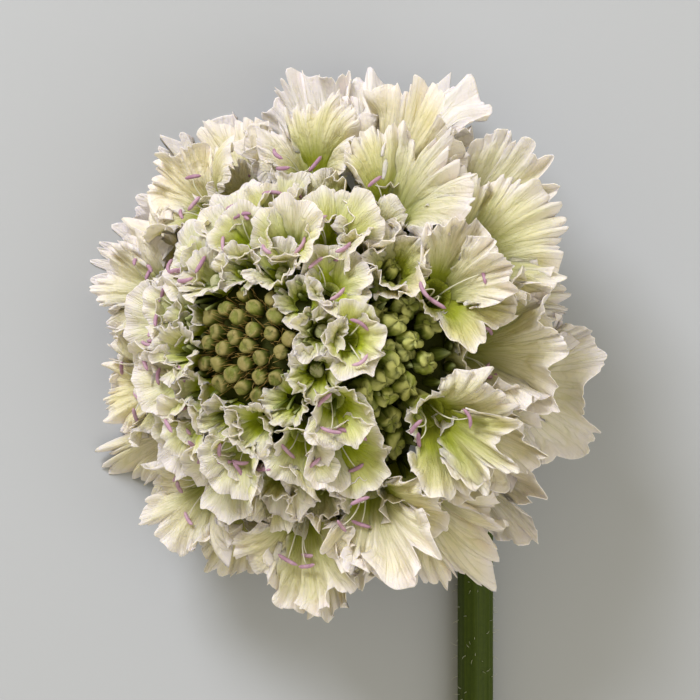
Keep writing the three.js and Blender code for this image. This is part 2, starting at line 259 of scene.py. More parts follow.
def link(name: str, data: bpy.types.ID) -> bpy.types.Object:
    """Puts data into the scene.

    Args:
        name: the new object's name.
        data: a mesh, a light or a camera.

    Returns:
        The object that shows it.
    """
    made = bpy.data.objects.new(name, data)
    bpy.context.scene.collection.objects.link(made)
    return made


def by_sides() -> dict[int, list[np.ndarray]]:
    """An empty list for faces of three corners and one for faces of four."""
    return {3: [], 4: []}


@dataclass
class Skin:
    """The mesh of one piece, gathered as grids of points and written once.

    tone holds three numbers from 0 to 1 for each point, which the finish reads: how near the green of the
    throat (on buds and green skins, how deep the painted shade), a random number for each repeat, and how near
    the edge.
    """

    points: list[np.ndarray] = field(default_factory=list)
    tones: list[np.ndarray] = field(default_factory=list)
    faces: dict[int, list[np.ndarray]] = field(default_factory=by_sides)
    maps: dict[int, list[np.ndarray]] = field(default_factory=by_sides)
    soft: dict[int, list[np.ndarray]] = field(default_factory=by_sides)
    count: int = 0

    def _keep(self, points: np.ndarray, tone: np.ndarray) -> int:
        """Adds points and their tones.

        Args:
            points: the points, of any grid shape.
            tone: three numbers that broadcast to each point.

        Returns:
            The number of the first point.
        """
        first = self.count
        self.points.append(points.reshape(-1, 3))
        self.tones.append(np.broadcast_to(tone, points.shape[:-1] + (3,)).reshape(-1, 3))
        self.count += len(self.points[-1])
        return first

    def _join(self, faces: list[np.ndarray], uv: list[np.ndarray], soft: bool = True) -> None:
        """Adds faces.

        Args:
            faces: the points' numbers, one array for each of a face's corners.
            uv: those corners' places on the pattern.
            soft: whether the faces are shaded soft.
        """
        sides = len(faces)
        self.faces[sides].append(np.stack(faces, -1).reshape(-1, sides))
        self.maps[sides].append(np.stack(uv, -2).reshape(-1, sides, 2))
        self.soft[sides].append(np.full(faces[0].size, soft))

    @staticmethod
    def _cells(grid: np.ndarray) -> list[np.ndarray]:
        """The four corners of every cell of each grid, in order round the cell."""
        return [grid[:, :-1, :-1], grid[:, :-1, 1:], grid[:, 1:, 1:], grid[:, 1:, :-1]]

    @staticmethod
    def _border(grid: np.ndarray) -> np.ndarray:
        """The points of each grid's border in order, the first one again at the end."""
        return np.concatenate([grid[:, 0, :-1], grid[:, :-1, -1], grid[:, -1, :0:-1], grid[:, ::-1, 0]], 1)

    def add_shells(self, middle: np.ndarray, thickness: np.ndarray, tone: np.ndarray, uv: np.ndarray) -> None:
        """Closed thin shells: each sheet's points moved half its thickness to either side, and a rim between.

        Args:
            middle: (sheets, rows, columns, 3) points of the sheets' middles.
            thickness: their thickness, which broadcasts to (sheets, rows, columns).
            tone: three numbers for each point.
            uv: two numbers for each point.
        """
        sheets, rows, columns, _ = middle.shape
        normal = unit(np.cross(np.gradient(middle, axis=2), np.gradient(middle, axis=1)))
        half = np.broadcast_to(thickness, middle.shape[:-1])[..., None] / 2
        both = np.stack([middle + normal * half, middle - normal * half], 1)
        tone = np.broadcast_to(tone, middle.shape)
        first = self._keep(both, np.stack([tone, tone], 1))
        number = first + np.arange(sheets * 2 * rows * columns).reshape(sheets, 2, rows, columns)
        top, under = number[:, 0], number[:, 1]
        flat = np.broadcast_to(uv, middle.shape[:-1] + (2,))
        self._join(self._cells(top), self._cells(flat))
        self._join(self._cells(under)[::-1], self._cells(flat)[::-1])
        over, below, edge = (self._border(grid) for grid in (top, under, flat))
        rim = [over[:, :-1], below[:, :-1], below[:, 1:], over[:, 1:]]
        self._join(rim, [edge[:, :-1], edge[:, :-1], edge[:, 1:], edge[:, 1:]], soft=False)

    def add_rings(self, rings: np.ndarray, tone: np.ndarray) -> None:
        """Closed surfaces made of rings of points, each end closed by a fan round its middle.

        Args:
            rings: (bodies, stations, sides, 3) points, running anticlockwise seen from the last station.
            tone: three numbers that broadcast to each point.
        """
        bodies, stations, sides, _ = rings.shape
        tone = np.broadcast_to(tone, rings.shape)
        first = self._keep(rings, tone)
        number = first + np.arange(bodies * stations * sides).reshape(bodies, stations, sides)
        wrapped = np.concatenate([number, number[..., :1]], -1)
        uv = np.stack(np.meshgrid(np.linspace(0, 1, sides + 1), np.linspace(0, 1, stations)), -1)
        uv = np.broadcast_to(uv, (bodies, stations, sides + 1, 2))
        self._join(self._cells(wrapped), self._cells(uv))
        for station, order in ((0, (0, 2, 1)), (stations - 1, (0, 1, 2))):
            pole = self._keep(rings[:, station].mean(1), tone[:, station].mean(1))
            tip = np.broadcast_to((pole + np.arange(bodies))[:, None], (bodies, sides))
            fan = [tip, wrapped[:, station, :-1], wrapped[:, station, 1:]]
            spots = [uv[:, station, :-1], uv[:, station, :-1], uv[:, station, 1:]]
            self._join([fan[k] for k in order], [spots[k] for k in order])

    def add_strands(
        self, ends: list[np.ndarray], radii: tuple[float, float], grid: tuple[int, int], facing: np.ndarray,
        tone: np.ndarray,
    ) -> None:
        """Fine strands, each a tube along a Bezier curve that thins evenly to its tip.

        Args:
            ends: the curves' control points, each one point for each strand.
            radii: the radius at the foot and at the tip.
            grid: stations along a strand and sides round it.
            facing: the direction that each strand's first side faces.
            tone: three numbers that broadcast to each point.
        """
        stations, sides = grid
        t = np.linspace(0, 1, stations)
        path, along = bezier(ends, t)
        taper = radii[0] + (radii[1] - radii[0]) * t
        wide = np.broadcast_to(taper[:, None], (len(path), stations, sides))
        self.add_rings(sweep(path, along, wide, facing[:, None]), tone)

    def make(self, name: str, finish: "Finish", slot: str, *nodes: str) -> None:
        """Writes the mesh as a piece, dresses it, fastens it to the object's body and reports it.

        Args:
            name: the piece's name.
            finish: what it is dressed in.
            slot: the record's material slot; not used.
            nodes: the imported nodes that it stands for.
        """
        faces = {sides: np.concatenate(found) for sides, found in self.faces.items() if found}
        corners = np.concatenate([found.ravel() for found in faces.values()])
        uv = np.concatenate([np.concatenate(self.maps[sides]).reshape(-1, 2) for sides in faces])
        soft = np.concatenate([np.concatenate(self.soft[sides]) for sides in faces])
        totals = np.concatenate([np.full(len(found), sides) for sides, found in faces.items()])
        mesh = bpy.data.meshes.new(name)
        mesh.vertices.add(self.count)
        mesh.vertices.foreach_set("co", (np.concatenate(self.points) * MM).astype(np.float32).ravel())
        mesh.loops.add(len(corners))
        mesh.loops.foreach_set("vertex_index", corners.astype(np.int32))
        mesh.polygons.add(len(totals))
        starts = np.concatenate([[0], np.cumsum(totals)[:-1]])
        mesh.polygons.foreach_set("loop_start", starts.astype(np.int32))
        mesh.polygons.foreach_set("use_smooth", soft)
        mesh.uv_layers.new(name="pattern").data.foreach_set("uv", uv.astype(np.float32).ravel())
        tone = np.concatenate([np.concatenate(self.tones), np.ones((self.count, 1))], 1)
        layer = mesh.color_attributes.new("tone", "FLOAT_COLOR", "POINT")
        layer.data.foreach_set("color", tone.astype(np.float32).ravel())
        mesh.update(calc_edges=True)
        mesh.validate()
        mesh.materials.append(finish.material())
        piece = link(name, mesh)
        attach(piece, BODY)
        if nodes:
            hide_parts(*nodes)
        LOG.info("%s: %d points, %d triangles", name, self.count, int((totals - 2).sum()))


# ---------------------------------------------------------------- shader graphs


class Wire:
    """One output of a node, with Python's operators for maths on its value."""

    def __init__(self, graph: "Graph", socket: bpy.types.NodeSocket) -> None:
        """Wraps one socket of a graph."""
        self.graph = graph
        self.socket = socket

    def _math(self, operation: str, *values: Any) -> "Wire":
        """The result of a Math node on these values, which are wires or numbers."""
        return self.graph.wire("ShaderNodeMath", {"operation": operation}, dict(enumerate(values)))

    def __add__(self, other: Any) -> "Wire":
        """Self plus other."""
        return self._math("ADD", self, other)

    __radd__ = __add__

    def __sub__(self, other: Any) -> "Wire":
        """Self minus other."""
        return self._math("SUBTRACT", self, other)

    def __rsub__(self, other: Any) -> "Wire":
        """Other minus self."""
        return self._math("SUBTRACT", other, self)

    def __mul__(self, other: Any) -> "Wire":
        """Self times other."""
        return self._math("MULTIPLY", self, other)

    __rmul__ = __mul__

    def held(self) -> "Wire":
        """Self kept from 0 to 1."""
        return self._math("MINIMUM", self._math("MAXIMUM", self, 0.0), 1.0)


class Graph:
    """A material's node tree, filled by one method for every kind of node."""

    def __init__(self, name: str) -> None:
        """Starts an empty material.

        Args:
            name: the material's name.
        """
        self.material = bpy.data.materials.new(name)
        self.material.use_nodes = True
        self.tree = self.material.node_tree
        self.tree.nodes.clear()

    def node(self, kind: str, settings: dict[str, Any], values: dict[Any, Any]) -> bpy.types.Node:
        """Adds one node.

        Args:
            kind: the node's type.
            settings: its properties, set first.
            values: what goes into its sockets by name or number, a wire or a value.

        Returns:
            The node.
        """
        made = self.tree.nodes.new(kind)
        for name, value in settings.items():
            setattr(made, name, value)
        for name, value in values.items():
            if isinstance(value, Wire):
                self.tree.links.new(value.socket, made.inputs[name])
            else:
                made.inputs[name].default_value = value
        return made

    def wire(self, kind: str, settings: dict[str, Any], values: dict[Any, Any], output: Any = 0) -> Wire:
        """Adds one node and returns the output of that name or number."""
        return Wire(self, self.node(kind, settings, values).outputs[output])

    def parts(self, kind: str, whole: Wire) -> list[Wire]:
        """The three numbers that a separating node of that type finds in a colour or a vector."""
        return [Wire(self, socket) for socket in self.node(kind, {}, {0: whole}).outputs[:3]]

    def tone(self) -> list[Wire]:
        """The three numbers of a skin's tone: green (painted shade on buds and green skins), random and edge.
        """
        read = self.wire("ShaderNodeAttribute", {"attribute_name": "tone"}, {}, "Color")
        return self.parts("ShaderNodeSeparateColor", read)

    def chart(self) -> list[Wire]:
        """The piece's own pattern map: across it, along it from its root to its tip, and 0."""
        return self.parts("ShaderNodeSeparateXYZ", self.wire("ShaderNodeUVMap", {"uv_map": "pattern"}, {}))

    def pattern(self, across: float, along: float, depth: Wire) -> Wire:
        """The pattern map, stretched, with a third number to tell repeats apart."""
        u, v, _ = self.chart()
        return self.wire("ShaderNodeCombineXYZ", {}, {0: u * across, 1: v * along, 2: depth})

    def place(self) -> Wire:
        """The point's own place on the object, in metres."""
        return self.wire("ShaderNodeTexCoord", {}, {}, "Object")

    def noise(self, where: Wire, scale: float, detail: float = 3.0) -> Wire:
        """Fractal noise from 0 to 1 at those places."""
        values = {"Vector": where, "Scale": scale, "Detail": detail, "Roughness": 0.55}
        return self.wire("ShaderNodeTexNoise", {}, values)

    def streaks(self, across: float, along: float, depth: Wire, detail: float) -> Wire:
        """Noise on the stretched pattern map, so many streaks across a piece and so many along it."""
        return self.noise(self.pattern(across, along, depth), 1.0, detail)

    def borders(self, where: Wire) -> Wire:
        """The distance from the borders of scattered cells, 0 on a border."""
        settings = {"feature": "DISTANCE_TO_EDGE"}
        return self.wire("ShaderNodeTexVoronoi", settings, {"Vector": where, "Scale": 1.0})

    def span(self, value: Wire, low: float, high: float) -> Wire:
        """0 where the value is under low, 1 above high, and a smooth way between."""
        settings = {"interpolation_type": "SMOOTHSTEP", "clamp": True}
        return self.wire("ShaderNodeMapRange", settings, {"Value": value, "From Min": low, "From Max": high})

    def mix(self, share: Any, first: Any, second: Any) -> Wire:
        """A colour between two.

        Args:
            share: the second's share, from 0 to 1.
            first: a wire or a colour.
            second: a wire or a colour.

        Returns:
            The mixed colour.
        """
        colours = [(*c, 1.0) if isinstance(c, tuple) else c for c in (first, second)]
        settings = {"data_type": "RGBA", "clamp_factor": True}
        return self.wire("ShaderNodeMix", settings, {0: share, 6: colours[0], 7: colours[1]}, 2)

    def bump(self, height: Wire, distance: float, strength: float) -> Wire:
        """A normal from a height, distance being what a height of 1 stands for, in mm."""
        values = {"Height": height, "Distance": distance * MM, "Strength": strength}
        return self.wire("ShaderNodeBump", {}, values)

    def finish(self, surface: dict[str, Any], glow: float | None = None) -> bpy.types.Material:
        """Ends the tree in a Principled shader, with light let through where a glow is given.

        Args:
            surface: the Principled shader's sockets.
            glow: the share of the light that passes through.

        Returns:
            The material.
        """
        last = self.wire("ShaderNodeBsdfPrincipled", {}, surface)
        if glow is not None:
            through = {"Color": surface["Base Color"], "Normal": surface["Normal"]}
            leaf = self.wire("ShaderNodeBsdfTranslucent", {}, through)
            last = self.wire("ShaderNodeMixShader", {}, {0: glow, 1: last, 2: leaf})
        self.node("ShaderNodeOutputMaterial", {}, {"Surface": last})
        return self.material


# ---------------------------------------------------------------- finishes


@dataclass(frozen=True)
class Finish:
    """A surface of the flower, made into a material once and then shared."""

    name: str

    def build(self) -> bpy.types.Material:
        """Makes the material."""
        raise NotImplementedError

    def material(self) -> bpy.types.Material:
        """The material, made at its first use."""
        return bpy.data.materials.get(self.name) or self.build()


@dataclass(frozen=True)
class PetalTissue(Finish):
    """Thin petal tissue that light soaks into: green at the throat, nearly white over the blade.

    It is whitest at its margin, and its blade is puckered by pucker tenths of a millimetre.
    """

    pale: Colour = (0.88, 0.79, 0.70)
    # shade is the yellower cream that random clouds bring in, and also the crimps' painted shade
    shade: Colour = (0.80, 0.69, 0.32)
    green: Colour = (0.30, 0.34, 0.03)
    edge: Colour = (0.94, 0.85, 0.86)
    pucker: float = 3.4

    def build(self) -> bpy.types.Material:
        """Mixes the colours by the tone and breaks them with streaks, veins and crimps along the petal, the
        crimps partly as painted shade.

        Returns:
            The material.
        """
        g = Graph(self.name)
        green, random, edge = g.tone()
        _, along, _ = g.chart()
        streaks = g.streaks(34, 1.8, random * 37, 4.0)
        crimps = g.streaks(64, 2.4, random * 23, 2.0) * g.span(along, 0.4, 0.95)
        puckers = g.streaks(15, 9, random * 41, 3.0) * g.span(along, 0.1, 0.6)
        vein = 1 - g.span(g.borders(g.pattern(26, 2.4, random * 11)), 0.0, 0.1)
        cloud = g.noise(g.place(), 260.0, 2.0)
        near = (green * (random * 0.5 + 0.75) + (streaks - 0.5) * 0.24 * (1 - edge)).held()
        # the yellower cream's share: random clouds and repeats, plus painted shade along the crimps
        cream_and_crimp_shade = (cloud * 0.9 + random * 0.7 + crimps * 0.3 - 0.72).held()
        colour = g.mix(near, g.mix(cream_and_crimp_shade, self.pale, self.shade), self.green)
        colour = g.mix(vein * 0.2 * (1 - edge), colour, self.green)
        colour = g.mix(edge * 0.65, colour, self.edge)
        grain = g.noise(g.place(), 5200.0, 2.0)
        height = streaks * 0.6 + crimps * 2.8 + puckers * self.pucker + grain * 0.4 - vein * 0.5
        surface = {
            "Base Color": colour,
            "Roughness": 0.5,
            "Specular IOR Level": 0.3,
            "Subsurface Weight": 0.5,
            "Subsurface Radius": (1.0, 0.9, 0.5),
            "Subsurface Scale": 0.5 * MM,
            "Normal": g.bump(height, 0.1, 0.8),
        }
        return g.finish(surface)


@dataclass(frozen=True)
class BudSkin(Finish):
    """The skin of a closed bud: green, duller and browner towards its tip, with faint creases, and painted
    shade in its creases, at its foot and along its seams.
    """

    green: Colour = (0.055, 0.09, 0.007)
    light: Colour = (0.17, 0.225, 0.016)
    tip: Colour = (0.35, 0.28, 0.12)
    # crease is the colour of the painted shade in the creases, at the foot and along the seams
    crease: Colour = (0.03, 0.05, 0.006)
    roughness: float = 0.55
    glow: float = 0.08

    def build(self) -> bpy.types.Material:
        """Mixes green and light by noise and by repeat, browns what the tone calls the edge, and darkens what
        its first number marks towards crease, which is painted shade.

        Returns:
            The material.
        """
        g = Graph(self.name)
        green, random, edge = g.tone()
        blotch = g.noise(g.place(), 900.0, 4.0)
        colour = g.mix((blotch * 1.3 + random * 0.5 - 0.4).held(), self.green, self.light)
        colour = g.mix((edge * (blotch + 0.25)).held(), colour, self.tip)
        # painted shade: the tone's first number darkens the creases, the foot and the seams
        colour = g.mix((green * 0.9).held(), colour, self.crease)
        streaks = g.streaks(14, 1.5, random * 29, 3.0)
        colour = g.mix((streaks * 1.4 - 0.6).held(), colour, self.tip)
        grain = g.noise(g.place(), 4200.0)
        surface = {
            "Base Color": colour,
            "Roughness": self.roughness,
            "Specular IOR Level": 0.25,
            "Normal": g.bump(grain * 0.7 + blotch * 0.8 + streaks, 0.1, 0.7),
        }
        return g.finish(surface, self.glow)


@dataclass(frozen=True)
class Strand(Finish):
    """Something fine such as an anther, a bristle or a hair, mottled from one colour to another."""

    first: Colour
    second: Colour
    glow: float | None = None
    scale: float = 1800.0
    roughness: float = 0.6

    def build(self) -> bpy.types.Material:
        """Mixes the two colours by fine noise and by repeat.

        Returns:
            The material.
        """
        g = Graph(self.name)
        _, random, edge = g.tone()
        spots = g.noise(g.place(), self.scale)
        share = (spots * 1.6 - 0.5 + (random - 0.5) * 0.5 + edge * 0.4).held()
        surface = {
            "Base Color": g.mix(share, self.first, self.second),
            "Roughness": self.roughness,
            "Normal": g.bump(g.noise(g.place(), self.scale * 3, 2.0), 0.04, 0.6),
        }
        return g.finish(surface, self.glow)


@dataclass(frozen=True)
class GreenSkin(Finish):
    """The skin of the stem, the bracts, the chaff and the receptacle: green with across by along streaks."""

    dark: Colour
    light: Colour
    across: float
    along: float
    roughness: float = 0.5
    pith: Colour = (0.62, 0.66, 0.38)
    # deep is the colour of painted shade, which the tone's first number darkens the skin towards
    deep: Colour = (0.04, 0.045, 0.006)

    def build(self) -> bpy.types.Material:
        """Mixes dark and light by noise drawn out along the piece, with small pale specks, and darkens it
        towards deep where the tone's first number says, which is painted shade.

        Returns:
            The material.
        """
        g = Graph(self.name)
        green, random, edge = g.tone()
        streak = g.streaks(self.across, self.along, random * 19, 4.0)
        speck = g.noise(g.place(), 2600.0)
        share = (streak * 1.5 - 0.35 + (speck - 0.5) * 0.5).held()
        colour = g.mix((edge * 0.8).held(), g.mix(share, self.dark, self.light), self.pith)
        surface = {
            # painted shade: the tone's first number darkens the skin towards deep
            "Base Color": g.mix((green * 0.8).held(), colour, self.deep),
            "Roughness": self.roughness,
            "Specular IOR Level": 0.2,
            "Normal": g.bump(streak + speck * 0.4, 0.12, 0.7),
        }
        return g.finish(surface)


@dataclass(frozen=True)
class Paper(Finish):
    """The pale studio floor."""

    colour: Colour = (0.45, 0.47, 0.53)

    def build(self) -> bpy.types.Material:
        """A matt surface, hardly clouded.

        Returns:
            The material.
        """
        g = Graph(self.name)
        darker = tuple(0.94 * c for c in self.colour)
        colour = g.mix(g.noise(g.place(), 6.0, 2.0), darker, self.colour)
        return g.finish({"Base Color": colour, "Roughness": 0.9, "Specular IOR Level": 0.1})


OUTER_TISSUE = PetalTissue("outer_petal")
BACK_TISSUE = PetalTissue(
    "back_petal", pale=(0.87, 0.80, 0.76), shade=(0.80, 0.72, 0.56), green=(0.36, 0.39, 0.07)
)
INNER_TISSUE = PetalTissue(
    "inner_petal", pale=(0.93, 0.83, 0.77), shade=(0.86, 0.80, 0.42), green=(0.44, 0.52, 0.03),
    edge=(0.96, 0.86, 0.88), pucker=0.5,
)
CAP_SKIN = BudSkin("cap_bud")
LATE_SKIN = BudSkin(
    "band_bud", green=(0.11, 0.165, 0.008), light=(0.36, 0.44, 0.03), tip=(0.70, 0.70, 0.26), roughness=0.5
)
CUP_BUD_SKIN = BudSkin("cup_bud", green=(0.16, 0.21, 0.04), light=(0.34, 0.38, 0.14), tip=(0.62, 0.60, 0.42))
ANTHER = Strand("anther", (0.36, 0.19, 0.31), (0.62, 0.42, 0.55))
FILAMENT = Strand("filament", (0.80, 0.80, 0.66), (0.88, 0.84, 0.84), glow=0.3)
BRISTLE = Strand("bristle", (0.30, 0.18, 0.04), (0.62, 0.45, 0.16))
HAIR = Strand("stem_hair", (0.72, 0.74, 0.62), (0.86, 0.86, 0.8), glow=0.4)
STEM_SKIN = GreenSkin("stem_skin", (0.023, 0.042, 0.002), (0.068, 0.10, 0.005), 34, 5)
BRACT_SKIN = GreenSkin("bract_skin", (0.13, 0.23, 0.05), (0.27, 0.38, 0.12), 14, 2)
CHAFF_SKIN = GreenSkin("chaff_skin", (0.07, 0.11, 0.008), (0.24, 0.28, 0.04), 6, 2, roughness=0.55)
# near black: painted shade for the head's middle where it shows between the florets
CORE_SHADE_SKIN = GreenSkin("core_shade_skin", (0.025, 0.035, 0.003), (0.07, 0.09, 0.01), 90, 8, roughness=0.7)


# ---------------------------------------------------------------- florets


@dataclass(frozen=True)
class Lobe:
    """One free lobe of a corolla.

    It leaves the rim turn degrees round from the outward side, over arc degrees to either side, fans out by
    fan degrees to either side and leans off the floret's look by lean degrees. reach is its length as a share
    of the floret's size, and curl its bend as a share of the row's. Its end is cleft into parts and has about
    that many teeth. cells are its grid's columns and rows, and series sets its draws apart.
    """

    turn: float
    reach: float
    series: int
    teeth: float
    cells: tuple[int, int]
    arc: float = 32
    fan: float = 42
    lean: float = 6
    curl: float = 1.0
    parts: int = 1

    def mirrored(self) -> "Lobe":
        """The same lobe on the floret's other side, with the next series of draws."""
        return replace(self, turn=-self.turn, series=self.series + 1)


@dataclass(frozen=True)
class Row:
    """One row of florets, one for each of its sizes, which are the lengths of the lobes that point outwards.

    root and throat are (rho, h) of the tube's two ends, rim the radius of the throat, face the angle from the
    head's axis to where a floret looks and sway what the head's lean adds to it. curl is how far a lobe bends
    along its length, and roll how far its edge may turn over, in degrees. wave, ruffle and pleat are the
    depths of the broad, middle and fine folds, notch the depth of the teeth over the length, and green how
    far the throat's green reaches along a lobe. The row covers span degrees from its start, a floret looks up
    to stray degrees off its way, a lobe passes over the next by overlap, corner is how much shorter a lobe is
    at its sides and split how deep it is cleft. Each floret has that many stamens, on filaments that long.
    """

    name: str
    sizes: tuple[float, ...]
    start: float
    root: tuple[float, float]
    throat: tuple[float, float]
    rim: float
    face: float
    curl: float
    wave: float
    series: int
    lobes: tuple[Lobe, ...]
    sway: float = 0.0
    span: float = 360.0
    stray: float = 5.0
    overlap: float = 0.0
    corner: float = 0.33
    split: float = 0.24
    ruffle: float = 1.2
    pleat: float = 1.25
    notch: float = 0.056
    roll: float = 50.0
    green: float = 0.8
    thickness: float = 0.13
    stamens: int = 3
    filament: float = 4.0


OUTWARD = Lobe(turn=0, reach=1.0, series=0, teeth=14.5, cells=(82, 15), fan=39, lean=4, parts=3)
SIDE = Lobe(turn=62, reach=0.82, series=1, teeth=11.5, cells=(62, 12), fan=41, lean=14, curl=1.4, parts=2)
INWARD = Lobe(turn=138, reach=0.48, series=3, teeth=5.5, cells=(26, 7), fan=44, lean=10, curl=0.8)
BACK_SIDE, FRONT_INWARD = replace(SIDE, reach=0.7), replace(INWARD, reach=0.3)
BACK_LOBES = (OUTWARD, BACK_SIDE, BACK_SIDE.mirrored())
RAY_LOBES = (OUTWARD, SIDE, SIDE.mirrored(), INWARD, INWARD.mirrored())
FRONT_LOBES = (OUTWARD, SIDE, SIDE.mirrored(), FRONT_INWARD, FRONT_INWARD.mirrored())
SMALL_OUTWARD = Lobe(turn=0, reach=1.0, series=0, teeth=9, cells=(38, 9), arc=36, lean=8)
SMALL_SIDE = Lobe(turn=72, reach=0.86, series=1, teeth=8, cells=(30, 8), arc=34, lean=12)
SMALL_INWARD = Lobe(turn=144, reach=0.6, series=3, teeth=6, cells=(20, 6), curl=0.8)
SMALL_LOBES = (SMALL_OUTWARD, SMALL_SIDE, SMALL_SIDE.mirrored(), SMALL_INWARD, SMALL_INWARD.mirrored())
CRUMPLED_LOBES = tuple(
    replace(lobe, teeth=6.5, cells=(30, 8), reach=0.8 + 0.2 * lobe.reach) for lobe in SMALL_LOBES
)
CUP_LOBES = tuple(
    Lobe(turn=72 * k, reach=1.0, series=k, teeth=4.5, cells=(20, 7), arc=44, fan=14) for k in range(5)
)

BACK_ROW = Row(
    name="back_row", sizes=(14.6, 10.4, 14.8, 17.8, 15.8, 17.8, 18.6, 15, 13.4, 9.6, 12, 14), start=-15,
    root=(4.5, -0.8), throat=(14, -4.4), rim=1.5, face=89, sway=9, curl=24, wave=1.1, series=18,
    lobes=BACK_LOBES, green=0.75,
)
MIDDLE_ROW = Row(
    name="middle_row", sizes=(11.5, 12.2, 12.4, 8.2, 11.4, 12.6, 10.6, 12.6, 10.6, 11.6, 13.6, 11), start=1,
    root=(5.5, 1.0), throat=(15.2, 0.8), rim=1.65, face=71, sway=5, curl=34, wave=1.2, series=19,
    lobes=RAY_LOBES, green=0.95,
)
FRONT_ROW = Row(
    name="front_row", sizes=(9.5, 8.8, 10, 7.4, 8.5, 7.4, 7.6, 8, 9.2, 9.5), start=-20,
    root=(5.5, 2.4), throat=(16.2, 5.6), rim=1.7, face=50, sway=3, curl=56, wave=1.0, series=20,
    lobes=FRONT_LOBES, green=1.05,
)
OUTER_RING = Row(
    name="outer_ring", sizes=(6.4, 5.8, 6.2, 5.6, 6.0, 5.6, 6.2, 6.6, 6.2, 6.4), start=55,
    root=(6, 9.0), throat=(10.8, 10.0), rim=1.25, face=54, curl=46, wave=0.25, series=5,
    lobes=SMALL_LOBES, span=278, stray=9, corner=0.3, split=0.1, ruffle=0.26, pleat=0.2, notch=0.02, roll=36,
    green=1.3, thickness=0.12, stamens=4, filament=3.2,
)
MIDDLE_RING = replace(
    OUTER_RING, name="middle_ring", sizes=(5.0, 4.6, 5.2, 4.8, 4.4, 4.8, 5.2, 4.6, 5.0, 5.2, 5.0), start=0,
    throat=(9.3, 12.2), root=(6, 10.0), rim=1.2, face=38, curl=50, wave=0.2, series=6,
    span=360, ruffle=0.22, pleat=0.14, notch=0.018, roll=32, green=1.4, stamens=2, filament=2.6,
)
CUP_ROW = Row(
    name="young_cups", sizes=(3.8, 3.1, 4.0, 3.4, 3.9, 3.0, 4.1, 3.4, 3.6, 3.9, 3.2, 3.7), start=8,
    root=(5.6, 10.6), throat=(6.9, 12.9), rim=1.1, face=18, curl=50, wave=0.16, series=23,
    lobes=CUP_LOBES, stray=16, overlap=0.22, corner=0.2, split=0.08, ruffle=0.18, pleat=0.05, notch=0.014,
    roll=26, green=1.3, stamens=0,
)
YOUNG_HIGH = Row(
    name="young_high", sizes=(5.4, 4.8, 5.2), start=30,
    root=(7, 3.4), throat=(12.8, 7.2), rim=1.3, face=40, curl=30, wave=0.5, series=21,
    lobes=CRUMPLED_LOBES, span=54, ruffle=0.6, pleat=0.25, notch=0.06, roll=80, green=1.3, thickness=0.15,
    stamens=0,
)
YOUNG_LOW = replace(YOUNG_HIGH, name="young_low", sizes=(4.8, 5.2, 4.6), start=-112, series=22)


@dataclass(frozen=True)
class Places:
    """Where a row's florets stand: numbers, throats, roots, directions and sizes, one for each floret."""

    ids: np.ndarray
    throat: np.ndarray
    root: np.ndarray
    look: np.ndarray
    outward: np.ndarray
    side: np.ndarray
    size: np.ndarray


